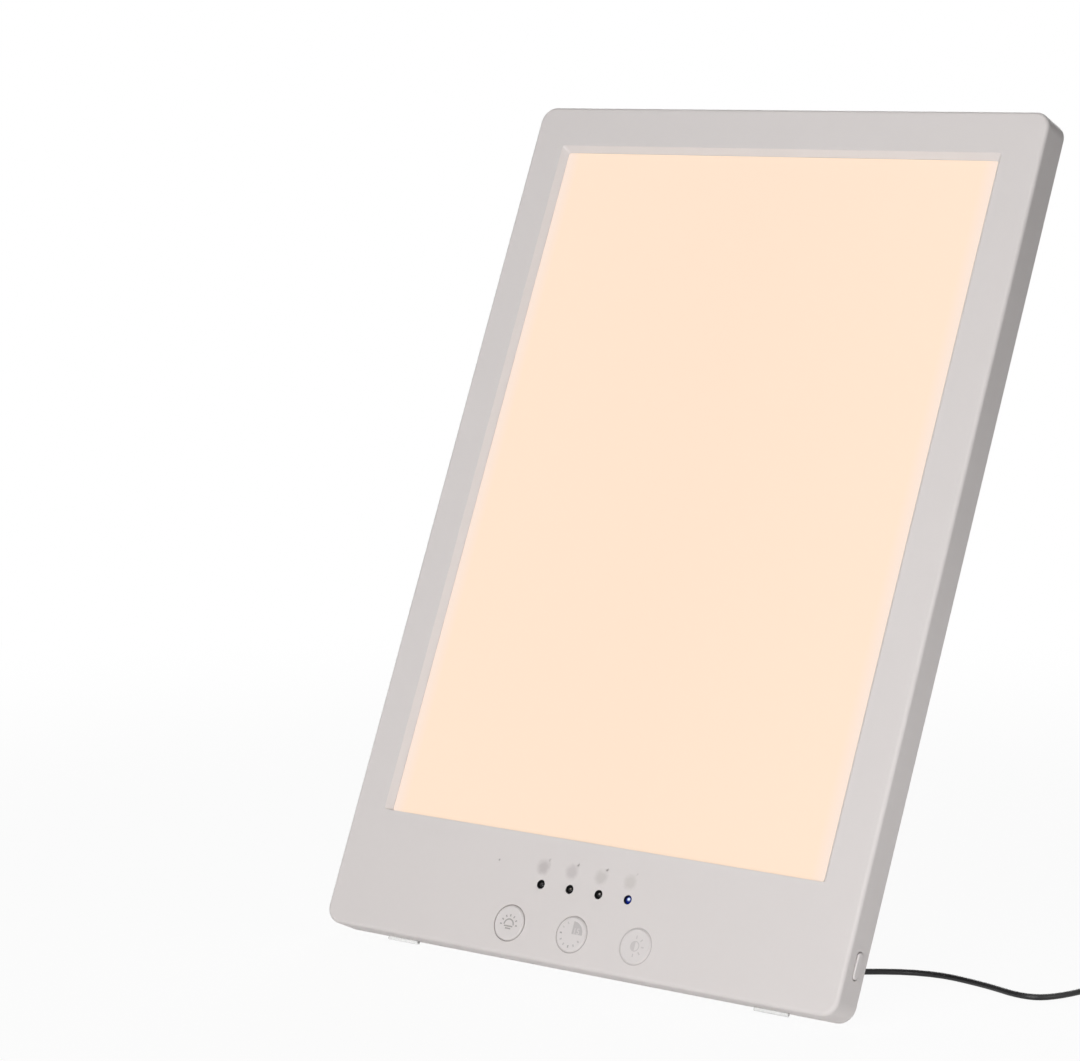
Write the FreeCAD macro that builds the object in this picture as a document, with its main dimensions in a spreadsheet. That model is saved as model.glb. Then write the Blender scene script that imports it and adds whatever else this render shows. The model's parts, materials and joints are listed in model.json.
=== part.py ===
import FreeCAD, Part
import math
import os
import re
import Sketcher
from FreeCAD import Vector

# A light therapy lamp: an edge-lit panel that leans back on a fold-out leg, with its low-voltage lead
# and wall adapter. Millimetres and degrees. +X is the viewer's right, -Y the lit side, +Z up.
# Pieces inside the panel use the panel's own directions: x across, y from the front face inwards and
# z up along the panel, from the middle of its bottom edge.

doc = FreeCAD.newDocument("light_therapy_lamp")
sheet = doc.addObject("Spreadsheet::Sheet", "Sizes")

sizes = {
    # panel outline
    "panel_height": 320,
    "panel_width": 221,
    "lean": 24,
    "corner_round": 6.1,
    "edge_round": 1.4,
    "side_wall": 2,
    "face_wall": 2.5,
    "foot_lift": 0.4,
    "weld": 0.5,  # how far joined solids run into each other
    "cut_over": 1,  # how far cuts run past what they cut
    "round_short": 0.01,  # what a full round end stops short of half the width
    # window in the front
    "window_side": 14.75,
    "window_aside": -0.9,  # from the panel's middle to the window's
    "window_top": 15.6,
    "window_base": 43.8,
    "window_bevel": 2.1,
    "window_base_bevel": 0.3,
    "window_round": 0.8,
    # optical stack
    "plate_overlap": 4,
    "diffuser_thick": 1.5,
    "guide_thick": 3,
    "guide_inset": 1,
    "reflector_thick": 0.3,
    "strip_thick": 1,
    "strip_width": 3.2,
    "strip_end_gap": 6,
    "chip_thick": 0.8,
    "chip_width": 1.4,
    "chip_length": 3,
    "chip_gap": 0.3,
    "chips_per_strip": 26,
    "rail_thick": 1.2,
    "rail_gap": 0.1,
    "rail_over": 2,
    "rail_short": 15,
    "plate_round": 2,
    "strip_front_gap": 0.05,
    # back cover
    "cover_thick": 2,
    "cover_gap": 0.2,
    "recess_depth": 3.6,
    "recess_floor_thick": 1,
    "recess_wall": 1.2,
    "recess_round": 1.5,
    "scoop_wide": 16,
    "scoop_tall": 18,
    "scoop_rise": 22,
    "scoop_depth": 1.3,
    "rib_thick": 1.2,
    "rib_gap": 0.1,
    "rib_from_leg": 34,
    "rib_short": 40,
    "vent_length": 16,
    "vent_width": 1.6,
    "vent_pitch": 4.2,
    "vent_count": 9,
    "vent_in": 1.5,
    "vent_rise": 2,
    # screws
    "screw_shank": 2.2,
    "screw_play": 0.05,
    "screw_length": 7,
    "screw_head": 4.2,
    "screw_head_tall": 1,
    "screw_clear": 0.4,
    "screw_sunk": 0.1,
    "screw_tip_gap": 0.6,
    "boss_inset": 4.5,
    "boss_wide": 6,
    "boss_low": 36,
    "boss_high": 8,
    "base_boss_up": 7.5,
    "board_boss": 4.6,
    "board_screw_length": 3.4,
    # front buttons
    "button_wide": 12.5,
    "button_gap": 0.4,
    "button_proud": 0.5,
    "button_bevel": 0.5,
    "button_flange": 15.4,
    "button_flange_thick": 0.8,
    "button_flange_play": 0.05,
    "button_stem": 4,
    "button_stem_long": 0.55,
    "button_pitch": 27.45,
    "button_up": 11.3,
    "button_aside": -0.67,  # from the panel's middle to the middle button
    "press_travel": 0.5,
    # switches under the buttons
    "board_thick": 0.8,
    "switch_side": 4.6,
    "switch_tall": 1.6,
    "plunger_wide": 2.4,
    "plunger_play": 0.1,
    "plunger_proud": 0.5,
    "plunger_seat": 0.55,
    # indicators
    "led_wide": 3,
    "led_flange": 3.8,
    "led_flange_thick": 0.8,
    "led_hole_gap": 0.3,
    "led_sink": 0.1,
    "led_pitch": 12.59,
    "led_up": 26.6,
    "led_aside": -0.12,  # from the panel's middle to the row's
    "led_well_play": 0.1,
    "shroud_wall": 2,
    "shroud_gap": 0.1,
    "pinhole_wide": 0.8,
    "pinhole_out": 39.45,
    "pinhole_up": 32.7,
    # boards and what is on them
    "board_edge": 4,
    "board_round": 1,
    "control_height": 30,
    "control_up": 5.5,
    "board_gap": 14,
    "driver_width": 37,
    "driver_height": 28,
    "driver_up": 5,
    "driver_thick": 1,
    "driver_gap": 1.2,
    "driver_side_gap": 6,
    "chip_tall": 1,
    "processor_side": 7,
    "processor_out": 17,
    "processor_rise": 7.5,
    "memory_side": 5,
    "memory_out": 38,
    "memory_rise": 16.5,
    "regulator_side": 4,
    "regulator_out": 16,
    "regulator_rise": 12,
    "inductor_wide": 8,
    "inductor_tall": 4.2,
    "inductor_in": 8,
    "inductor_rise": 20,
    "can_wide": 6.2,
    "can_tall": 5,
    "can_in": 20,
    "can_pitch": 7.5,
    "can_rise": 22,
    "driver_chip_side": 5,
    "driver_chip_tall": 1.5,
    "driver_chip_in": 8,
    "driver_chip_rise": 5,
    # flat leads
    "flex_thick": 0.3,
    "flex_width": 3,
    "flex_tab": 3,
    "flex_grip": 4,
    "board_flex_bend": 6,
    "strip_lead_drop": 3,
    "strip_lead_in": 6,
    "wire_thick": 0.8,
    "wire_pair": 1.8,
    "wire_in": 11,
    "wire_turn": 3,
    "wire_slant": 2,
    "wire_up": 6,
    "wire_tab": 2,
    # power button in the right wall
    "power_up": 19.1,
    "power_depth": 6.7,
    "power_long": 9.1,
    "power_wide": 2.9,
    "power_gap": 0.45,
    "power_proud": 0.5,
    "power_flange_rim": 1,
    "power_flange_thick": 1.4,
    "power_flange_play": 0.1,
    "power_stem_thin": 1,
    "power_switch_depth": 6.2,
    "power_switch_long": 5.5,
    "power_switch_side": 8,
    "power_switch_over": 0.5,
    "power_edge": 0.4,
    # leg
    "hinge_up": 190,
    "leg_open": 35,
    "leg_width": 56,
    "leg_thick": 3,
    "leg_floor_gap": 0.4,
    "leg_side_gap": 0.8,
    "leg_end_gap": 2.5,
    "leg_round": 9,
    "leg_border": 6,
    "leg_dish": 0.6,
    "leg_hub": 10,
    "leg_rib": 3,
    "leg_cell_round": 3,
    "leg_cell_depth": 1,
    "shoulder_round": 0.5,
    "barrel_wide": 5.2,
    "barrel_gap": 0.3,
    "nose_in": 2,
    "nose_root": 1,
    "stop_gap": 0.05,
    "pin_wide": 2.5,
    "pin_play": 0.05,
    "pin_in_leg": 5,
    "lug_thick": 4.8,
    "lug_round": 2.9,
    "washer_wide": 4.8,
    "washer_thick": 0.5,
    "washer_play": 0.05,
    "hinge_bay_side": 11,
    "hinge_bay_rise": 5.5,
    "foot_wide": 44,
    "foot_tall": 7,
    "foot_skin": 0.4,
    "tongue_thick": 1.4,
    "tongue_long": 3.5,
    "tongue_root": 4,
    "tongue_side": 3,
    "tongue_round": 0.6,
    # pads under the bottom edge
    "pad_inset": 23.5,
    "pad_long": 14,
    "pad_from": 8.9,
    "pad_edge": 1,
    "pad_sunk": 1.5,
    "pad_drop": 1.3,
    "pad_round": 1,
    # jack housing on the back
    "pod_gap": 5,
    "pod_up": 70,
    "pod_wide": 14,
    "pod_tall": 19,
    "pod_wall": 1.5,
    "pod_round": 2,
    "pod_edge": 1.4,
    "jack_hole_gap": 0.3,
    "jack_out": 5,
    "jack_play": 0.1,
    "jack_wide": 9,
    "jack_long": 13.5,
    "jack_bore": 6.2,
    "jack_bore_long": 11,
    "jack_pin": 2,
    "jack_pin_sunk": 1,
    # lead, plug and adapter
    "plug_barrel": 5.5,
    "plug_barrel_bore": 2.2,
    "plug_barrel_long": 9.5,
    "plug_gap": 0.3,
    "plug_body": 9,
    "plug_body_long": 21.7,
    "plug_neck": 6.4,
    "plug_taper": 6,
    "relief_step": 0.6,
    "plug_relief_long": 14,
    "relief_end": 3.4,
    "lead_wide": 2.2,
    "coil_across": 166,
    "coil_back": 47.2,
    "coil_inner": 7.5,
    "coil_outer": 16.45,
    "coil_low": 0.7,
    "coil_tall": 8.95,
    "tie_wide": 5,
    "tie_thick": 0.6,
    "tie_play": 0.05,
    "adapter_across": 150.65,
    "adapter_from": 70,
    "adapter_lead_up": 9.5,
    "adapter_long": 62,
    "adapter_wide": 42,
    "adapter_tall": 27,
    "adapter_split": 13.5,
    "adapter_round": 5,
    "adapter_edge": 2.5,
    "adapter_seam": 0.3,
    "adapter_plate_wide": 28,
    "adapter_plate_long": 42,
    "adapter_plate_round": 3,
    "adapter_plate_deep": 0.4,
    "blade_long": 17,
    "blade_wide": 6.3,
    "blade_thick": 1.5,
    "blade_pitch": 12.7,
    "blade_tip": 1.2,
    "blade_bevel": 0.4,
    "blade_hole": 3.2,
    "blade_hole_at": 11.7,
    "adapter_relief_long": 14,
    "adapter_relief_wide": 7,
}
for row, (name, value) in enumerate(sizes.items(), 1):
    sheet.set(f"A{row}", name)
    sheet.set(f"B{row}", str(value))
    sheet.setAlias(f"B{row}", name)
doc.recompute()

# worked out from the sizes above
derived = {
    "inner_width": "panel_width - 2 * side_wall",
    "inner_height": "panel_height - 2 * side_wall",
    "window_width": "panel_width - 2 * window_side",
    "window_height": "panel_height - window_top - window_base",
    "window_mid": "window_base + window_height / 2",
    "plate_width": "window_width - 2 * window_bevel + 2 * plate_overlap",
    "plate_base": "window_base + window_base_bevel - plate_overlap",
    "plate_top": "panel_height - window_top - window_bevel + plate_overlap",
    "plate_height": "plate_top - plate_base",
    "plate_mid": "(plate_top + plate_base) / 2",
    "guide_at": "face_wall + diffuser_thick",
    "guide_width": "plate_width - 2 * guide_inset",
    "guide_height": "plate_height - 2 * guide_inset",
    "reflector_at": "guide_at + guide_thick",
    "reflector_back": "reflector_at + reflector_thick",
    "strip_out": "guide_width / 2 + chip_gap + chip_thick",
    "strip_length": "guide_height - 2 * strip_end_gap",
    "rail_out": "strip_out + strip_thick + rail_gap",
    "recess_floor_at": "reflector_back + rib_gap + recess_floor_thick",
    "panel_depth": "recess_floor_at + recess_depth",
    "cover_at": "panel_depth - cover_thick",
    "switch_at": "face_wall + button_flange_play + button_flange_thick + button_stem_long + plunger_proud",
    "board_at": "switch_at + switch_tall",
    "driver_at": "cover_at - driver_gap - driver_thick",
    "driver_to": "panel_width / 2 - side_wall - driver_side_gap",
    "driver_from": "driver_to - driver_width",
    "control_width": "2 * (driver_from - board_gap)",
    "boss_out": "panel_width / 2 - side_wall - boss_inset",
    "base_boss_out": "(control_width + board_gap) / 2",
    "switch_hole": "plunger_wide + 2 * plunger_play",
    "switch_sink": "plunger_seat + press_travel + plunger_play",
    "power_switch_to": "driver_to + power_switch_over",
    "power_flange_at": "panel_width / 2 - side_wall - power_flange_play - power_flange_thick",
    "recess_half": "leg_width / 2 + leg_side_gap",
    "hinge_depth": "recess_floor_at + barrel_wide / 2 + barrel_gap",
    "pivot_height": "hinge_up * cos(lean) + (panel_depth - hinge_depth) * sin(lean) + foot_lift",
    "tilt": "leg_open - lean",
    "leg_reach": "pivot_height / cos(tilt)",
    "leg_inner": "recess_floor_at + leg_floor_gap - hinge_depth",
    "leg_outer": "leg_inner + leg_thick",
    "leg_end": "foot_tall - leg_reach",
    "lug_at": "leg_width / 2 + washer_thick + 2 * washer_play",
    "pin_from": "lug_at + lug_thick",
    "hinge_bay_half": "pin_from + hinge_bay_side",
    "recess_low": "hinge_up - leg_reach - leg_end_gap",
    "recess_high": "hinge_up + hinge_bay_rise",
    "pad_out": "panel_width / 2 - pad_inset - pad_long / 2",
    "pad_to": "panel_depth - pad_edge",
    "pod_out": "recess_half + recess_wall + pod_gap + pod_wide / 2",
    "pod_back": "jack_depth + jack_wide / 2 + jack_play + pod_wall",
    "jack_depth": "panel_depth + jack_out",
    "jack_foot": "pod_up + pod_wall + jack_play",
    "plug_end": "-plug_gap - plug_body_long",
    "tongue_depth": "(leg_inner + leg_outer - tongue_thick) / 2",
    "tongue_mid": "leg_end + (tongue_root - tongue_long) / 2",
    "flex_from": "reflector_back - flex_width",
    "driver_lead_up": "driver_up + driver_height - flex_grip",
    "screw_head_at": "panel_depth - screw_head_tall - screw_sunk",
    "leg_free": "leg_end + leg_hub + leg_border",
}


def bound(text):
    """The expression with derived names written out and every size's name pointing at the sheet."""

    def full(match):
        word = match.group()
        return f"({bound(derived[word])})" if word in derived else "Sizes." * (word in sizes) + word

    return re.sub(r"[a-z_]\w*", full, text)


def number(text):
    return float(sheet.evalExpression(bound(text)))


nodes = []  # the sub-parts, in the order they are made


def node(thing, label):
    thing.Label = label
    nodes.append(thing)
    return thing


def body(label):
    return node(doc.addObject("PartDesign::Body", label), label)


def place(thing, x="0", y="0", z="0", about="vector(1; 0; 0)", turn="0", frame="front_frame.Placement"):
    """Puts a thing into a frame, at an offset and turned about an axis."""
    offset = bound(f"placement(vector({x}; {y}; {z}); rotation({about}; {turn}))")
    thing.setExpression("Placement", f"{frame} * {offset}" if frame else offset)


def sketch(owner, name, x="0", y="0", z="0", plane="XZ_Plane"):
    """An empty sketch on one of its body's origin planes, its own origin at x, y, z in that body."""
    drawn = owner.newObject("Sketcher::SketchObject", name)
    role = next(o for o in owner.Origin.OriginFeatures if o.Role == plane)
    drawn.AttachmentSupport = [(role, "")]
    drawn.MapMode = "FlatFace"
    across, up, out = {
        "XZ_Plane": (x, z, f"-({y})"),
        "YZ_Plane": (y, z, x),
        "XY_Plane": (x, y, z),
    }[plane]
    drawn.setExpression("AttachmentOffset.Base.x", bound(across))
    drawn.setExpression("AttachmentOffset.Base.y", bound(up))
    drawn.setExpression("AttachmentOffset.Base.z", bound(out))
    return drawn


def limit(drawn, kind, *where, size):
    """Adds a dimension that follows the sheet."""
    index = drawn.addConstraint(Sketcher.Constraint(kind, *where, number(size)))
    drawn.setExpression(f"Constraints[{index}]", bound(size))


def outline(drawn, points):
    """A closed polygon through (across, up) pairs of expressions."""
    corners = [Vector(number(a), number(b), 0) for a, b in points]
    first = len(drawn.Geometry)
    for i, corner in enumerate(corners):
        drawn.addGeometry(Part.LineSegment(corner, corners[(i + 1) % len(corners)]), False)
    for i, (across, up) in enumerate(points):
        after = first + (i + 1) % len(corners)
        drawn.addConstraint(Sketcher.Constraint("Coincident", first + i, 2, after, 1))
        limit(drawn, "DistanceX", -1, 1, first + i, 1, size=across)
        limit(drawn, "DistanceY", -1, 1, first + i, 1, size=up)
    return drawn


def circles(drawn, width, places=(("0", "0"),)):
    for across, up in places:
        circle = Part.Circle(Vector(number(across), number(up), 0), Vector(0, 0, 1), number(width) / 2)
        index = drawn.addGeometry(circle, False)
        limit(drawn, "Diameter", index, size=width)
        limit(drawn, "DistanceX", -1, 1, index, 3, size=across)
        limit(drawn, "DistanceY", -1, 1, index, 3, size=up)
    return drawn


def rounded(drawn, width, height, radius):
    """A rectangle with rounded corners about the sketch's origin."""
    half_w, half_h, r = number(width) / 2, number(height) / 2, number(radius)
    in_w, in_h = half_w - r, half_h - r
    sides = (
        ((-in_w, -half_h), (in_w, -half_h)),
        ((half_w, -in_h), (half_w, in_h)),
        ((in_w, half_h), (-in_w, half_h)),
        ((-half_w, in_h), (-half_w, -in_h)),
    )
    for start, end in sides:
        drawn.addGeometry(Part.LineSegment(Vector(*start, 0), Vector(*end, 0)), False)
    centres = ((in_w, -in_h), (in_w, in_h), (-in_w, in_h), (-in_w, -in_h))
    for i, centre in enumerate(centres):
        circle = Part.Circle(Vector(*centre, 0), Vector(0, 0, 1), r)
        begin = math.radians(90 * i - 90)
        drawn.addGeometry(Part.ArcOfCircle(circle, begin, begin + math.pi / 2), False)
    for i in range(4):
        drawn.addConstraint(Sketcher.Constraint("Tangent", i, 2, 4 + i, 1))
        drawn.addConstraint(Sketcher.Constraint("Tangent", 4 + i, 2, (i + 1) % 4, 1))
        drawn.addConstraint(Sketcher.Constraint("Vertical" if i % 2 else "Horizontal", i))
    for i in (5, 6, 7):
        drawn.addConstraint(Sketcher.Constraint("Equal", 4, i))
    drawn.addConstraint(Sketcher.Constraint("Symmetric", 7, 3, 5, 3, -1, 1))
    limit(drawn, "Radius", 4, size=radius)
    limit(drawn, "DistanceX", 3, 1, 1, 1, size=width)
    limit(drawn, "DistanceY", 0, 1, 2, 1, size=height)
    return drawn


def pad(owner, drawn, length):
    """Adds material from the sketch into the body: inwards, along +y, from an XZ sketch, and along +x
    or +z from the others."""
    made = owner.newObject("PartDesign::Pad", drawn.Name + "_pad")
    made.Profile = drawn
    made.Reversed = drawn.AttachmentSupport[0][0].Role == "XZ_Plane"
    made.setExpression("Length", bound(length))
    drawn.Visibility = False
    return made


def pocket(owner, drawn, length):
    """Cuts from the sketch along +y from an XZ sketch, and along -x or -z from the others."""
    made = owner.newObject("PartDesign::Pocket", drawn.Name + "_cut")
    made.Profile = drawn
    made.setExpression("Length", bound(length))
    return made


def turned(owner, drawn, kind="Revolution", axis="V_Axis"):
    made = owner.newObject("PartDesign::" + kind, drawn.Name + "_turned")
    made.Profile = drawn
    made.ReferenceAxis = (drawn, [axis])
    made.Angle = 360
    return made


def dressed(owner, base, kind, size, chosen):
    """Fillets or chamfers the edges of base that chosen picks by their two ends."""
    doc.recompute()
    picked = [
        f"Edge{i}"
        for i, edge in enumerate(base.Shape.Edges, 1)
        if chosen([vertex.Point for vertex in edge.Vertexes])
    ]
    made = owner.newObject("PartDesign::" + kind, f"{base.Name}_{kind.lower()}")
    made.Base = (base, picked)
    made.setExpression("Radius" if kind == "Fillet" else "Size", bound(size))
    owner.Tip = made
    return made


def primitive(kind, name, **dims):
    made = doc.addObject("Part::" + kind, name)
    for dim, text in dims.items():
        made.setExpression(dim, bound(text))
    return made


def combined(kind, name, pieces):
    """A cut of the first piece by the second, or a fuse or group of them all."""
    made = doc.addObject("Part::" + kind, name)
    if kind == "Cut":
        made.Base, made.Tool = pieces
    elif kind == "Compound":
        made.Links = pieces
    else:
        made.Shapes = pieces
    return made


inwards = {"about": "vector(1; 0; 0)", "turn": "-90"}  # turns a cylinder's axis to +y
rightwards = {"about": "vector(0; 1; 0)", "turn": "90"}  # turns a cylinder's axis to +x

# ---- places that several pieces share
button_places = [(f"{k} * button_pitch + button_aside", "button_up") for k in (-1, 0, 1)]
led_places = [(f"{k} * led_pitch + led_aside", "led_up") for k in (-1.5, -0.5, 0.5, 1.5)]
boss_places = [
    (f"{side} * boss_out", f"boss_low + {k} * (panel_height - boss_low - boss_high) / 3")
    for side in (-1, 1)
    for k in range(4)
]
boss_places += [("-base_boss_out", "base_boss_up"), ("base_boss_out", "base_boss_up")]
control_screws = [
    (f"{side} * (control_width / 2 - board_edge)", up)
    for side in (-1, 1)
    for up in ("control_up + board_edge", "control_up + control_height - board_edge")
]
driver_screws = [
    ("driver_from + board_edge", "driver_up + board_edge"),
    ("driver_to - board_edge", "driver_up + board_edge"),
]

# ---- front frame: a tray with the window, the buttons' holes and the screw bosses
front_frame = body("front_frame")
block = pad(
    front_frame,
    rounded(
        sketch(front_frame, "frame_outline", z="panel_height / 2"),
        "panel_width",
        "panel_height",
        "corner_round",
    ),
    "panel_depth",
)
dressed(front_frame, block, "Fillet", "edge_round", lambda ends: all(abs(p.y) < 0.01 for p in ends))
pocket(
    front_frame,
    rounded(
        sketch(front_frame, "frame_inside", y="face_wall", z="panel_height / 2"),
        "inner_width",
        "inner_height",
        "corner_round - side_wall",
    ),
    "panel_depth",
)
window_front = rounded(
    sketch(front_frame, "window_front", x="window_aside", z="window_mid"),
    "window_width",
    "window_height",
    "window_round",
)
window_back = rounded(
    sketch(
        front_frame,
        "window_back",
        x="window_aside",
        y="face_wall",
        z="window_mid + (window_base_bevel - window_bevel) / 2",
    ),
    "window_width - 2 * window_bevel",
    "window_height - window_bevel - window_base_bevel",
    "window_round",
)
window = front_frame.newObject("PartDesign::SubtractiveLoft", "window")
window.Profile = window_front
window.Sections = [window_back]
pocket(
    front_frame,
    circles(sketch(front_frame, "button_holes"), "button_wide + 2 * button_gap", button_places),
    "face_wall + cut_over",
)
pocket(
    front_frame,
    circles(sketch(front_frame, "led_holes"), "led_wide + led_hole_gap", led_places),
    "face_wall + cut_over",
)
pocket(
    front_frame,
    circles(sketch(front_frame, "pinhole"), "pinhole_wide", [("-pinhole_out", "pinhole_up")]),
    "face_wall + cut_over",
)
power_hole = sketch(
    front_frame, "power_hole", "panel_width / 2 + cut_over", "power_depth", "power_up", "YZ_Plane"
)
rounded(
    power_hole,
    "power_wide + 2 * power_gap",
    "power_long + 2 * power_gap",
    "power_wide / 2 + power_gap - round_short",
)
pocket(front_frame, power_hole, "side_wall + 2 * cut_over")
pad(
    front_frame,
    circles(sketch(front_frame, "bosses", y="face_wall - weld"), "boss_wide", boss_places),
    "cover_at - face_wall + weld",
)
pocket(
    front_frame,
    circles(
        sketch(front_frame, "boss_holes", y="cover_at - screw_length"),
        "screw_shank + 2 * screw_play",
        boss_places,
    ),
    "panel_depth",
)
for name, across, up, width, height in (
    ("left", "-rail_out - rail_thick / 2", "plate_mid", "rail_thick", "strip_length + 2 * rail_over"),
    ("right", "rail_out + rail_thick / 2", "plate_mid", "rail_thick", "strip_length + 2 * rail_over"),
    ("lower", "0", "plate_base - rail_gap - rail_thick / 2", "plate_width - 2 * rail_short", "rail_thick"),
    ("upper", "0", "plate_top + rail_gap + rail_thick / 2", "plate_width - 2 * rail_short", "rail_thick"),
):
    rail = sketch(front_frame, name + "_rail", x=across, y="face_wall - weld", z=up)
    rounded(rail, width, height, "rail_thick / 2 - round_short")
    pad(front_frame, rail, "reflector_back - face_wall + weld")
for name, places, at in (("control", control_screws, "board_at"), ("driver", driver_screws, "driver_at")):
    bosses = sketch(front_frame, name + "_bosses", y="face_wall - weld")
    pad(front_frame, circles(bosses, "board_boss", places), f"{at} - face_wall + weld")
    holes = sketch(front_frame, name + "_boss_holes", y=f"{at} - board_screw_length + weld")
    pocket(front_frame, circles(holes, "screw_shank + 2 * screw_play", places), "panel_depth")
for side, name in ((-1, "left"), (1, "right")):
    seat = (f"{side} * pad_out", "(pad_from + pad_to) / 2", "pad_sunk")
    pad_seat = sketch(front_frame, f"{name}_pad_seat", *seat, "XY_Plane")
    rounded(pad_seat, "pad_long", "pad_to - pad_from", "pad_round")
    pocket(front_frame, pad_seat, "pad_sunk + cut_over")
round_loss = "edge_round * (sin(lean) + cos(lean) - 1)"
panel_y = f"-(panel_height * sin(lean) + panel_depth * cos(lean) + {round_loss}) / 2"
place(front_frame, y=panel_y, z="panel_depth * sin(lean) + foot_lift", turn="-lean", frame="")

# ---- optical stack
for name, at, thick, width, height in (
    ("diffuser_plate", "face_wall", "diffuser_thick", "plate_width", "plate_height"),
    ("light_guide", "guide_at", "guide_thick", "guide_width", "guide_height"),
    ("reflector_sheet", "reflector_at", "reflector_thick", "guide_width", "guide_height"),
):
    plate = body(name)
    drawn = sketch(plate, name + "_outline", y=at, z="plate_mid")
    pad(plate, rounded(drawn, width, height, "plate_round"), thick)
    place(plate)

for side, name in ((-1, "left"), (1, "right")):
    strip = node(
        primitive("Box", f"{name}_strip", Length="strip_thick", Width="strip_width", Height="strip_length"),
        f"led_strip_{name}",
    )
    inner = "strip_out" if side == 1 else "-strip_out - strip_thick"
    place(strip, inner, "guide_at + strip_front_gap", "plate_mid - strip_length / 2")
    chips = []
    for k in range(int(number("chips_per_strip"))):
        chip = primitive(
            "Box", f"{name}_chip", Length="chip_thick", Width="chip_width", Height="chip_length"
        )
        inner = "strip_out - chip_thick" if side == 1 else "-strip_out"
        up = f"plate_mid + strip_length * (({k} + 0.5) / chips_per_strip - 0.5) - chip_length / 2"
        place(chip, inner, "guide_at + (guide_thick - chip_width) / 2", up)
        chips.append(chip)
    node(combined("Compound", f"{name}_chips", chips), f"led_chips_{name}")

# ---- control board with its switches, light shroud and indicators
def board(label, places, at, thick, middle, up, width, height):
    made = body(label)
    drawn = sketch(made, label + "_outline", middle, at, f"{up} + {height} / 2")
    pad(made, rounded(drawn, width, height, "board_round"), thick)
    holes = sketch(made, label + "_holes", y=f"{at} - cut_over")
    pocket(made, circles(holes, "screw_shank + screw_clear", places), f"{thick} + 2 * cut_over")
    place(made)


board(
    "control_board",
    control_screws,
    "board_at",
    "board_thick",
    "0",
    "control_up",
    "control_width",
    "control_height",
)
button_names = ("temperature", "timer", "brightness")
for name, (across, up) in zip(button_names, button_places):
    case = primitive(
        "Box", name + "_case", Length="switch_side", Width="switch_tall", Height="switch_side"
    )
    place(case, f"{across} - switch_side / 2", "switch_at", f"{up} - switch_side / 2")
    well_long = "switch_sink + cut_over"
    hole = primitive("Cylinder", name + "_well", Radius="switch_hole / 2", Height=well_long)
    place(hole, across, "switch_at - cut_over", up, **inwards)
    node(combined("Cut", name + "_switch_cut", (case, hole)), f"{name}_switch")

    plunger = node(
        primitive(
            "Cylinder",
            name + "_plunger_rod",
            Radius="plunger_wide / 2",
            Height="plunger_proud + plunger_seat",
        ),
        f"{name}_plunger",
    )
    place(plunger, across, "switch_at - plunger_proud", up, **inwards)

    cap = body(f"{name}_button")
    half, flange_at = "button_wide / 2", "face_wall + button_flange_play"
    profile = [
        ("0", "-button_proud"),
        (f"{half} - button_bevel", "-button_proud"),
        (half, "button_bevel - button_proud"),
        (half, flange_at),
        ("button_flange / 2", flange_at),
        ("button_flange / 2", f"{flange_at} + button_flange_thick"),
        ("button_stem / 2", f"{flange_at} + button_flange_thick"),
        ("button_stem / 2", "switch_at - plunger_proud"),
        ("0", "switch_at - plunger_proud"),
    ]
    turned(cap, outline(sketch(cap, name + "_profile", plane="XY_Plane"), profile))
    place(cap, across, "0", up)

shroud_case = primitive(
    "Box",
    "shroud_case",
    Length="3 * led_pitch + led_flange + 2 * shroud_wall",
    Width="board_at - face_wall - 2 * shroud_gap",
    Height="led_flange + 2 * shroud_wall",
)
place(
    shroud_case,
    "led_aside - (3 * led_pitch + led_flange + 2 * shroud_wall) / 2",
    "face_wall + shroud_gap",
    "led_up - led_flange / 2 - shroud_wall",
)
wells = []
for number_of, (across, up) in enumerate(led_places, 1):
    well_wide = "led_flange / 2 + led_well_play"
    well = primitive("Cylinder", f"led_well_{number_of}", Radius=well_wide, Height="board_at")
    place(well, across, "0", up, **inwards)
    wells.append(well)
    flange = primitive("Cylinder", "led_flange", Radius="led_flange / 2", Height="led_flange_thick")
    place(flange, across, "board_at - led_flange_thick", up, **inwards)
    stem = primitive(
        "Cylinder", "led_stem", Radius="led_wide / 2", Height="board_at - led_sink - led_wide / 2"
    )
    place(stem, across, "led_sink + led_wide / 2", up, **inwards)
    dome = primitive("Sphere", "led_dome", Radius="led_wide / 2")
    place(dome, across, "led_sink + led_wide / 2", up)
    node(combined("MultiFuse", f"led_{number_of}", [flange, stem, dome]), f"indicator_led_{number_of}")
shroud_holes = combined("Compound", "shroud_holes", wells)
node(combined("Cut", "shroud", (shroud_case, shroud_holes)), "indicator_shroud")

chips = []
for name, side in (("processor", -1), ("memory", -1), ("regulator", 1)):
    width = f"{name}_side"
    chip = primitive("Box", name, Length=width, Width="chip_tall", Height=width)
    across = f"{side} * {name}_out" + (f" - {width}" if side == -1 and name == "memory" else "")
    place(chip, across, "board_at - chip_tall", f"control_up + {name}_rise")
    chips.append(chip)
node(combined("Compound", "control_chips_group", chips), "control_chips")

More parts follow.
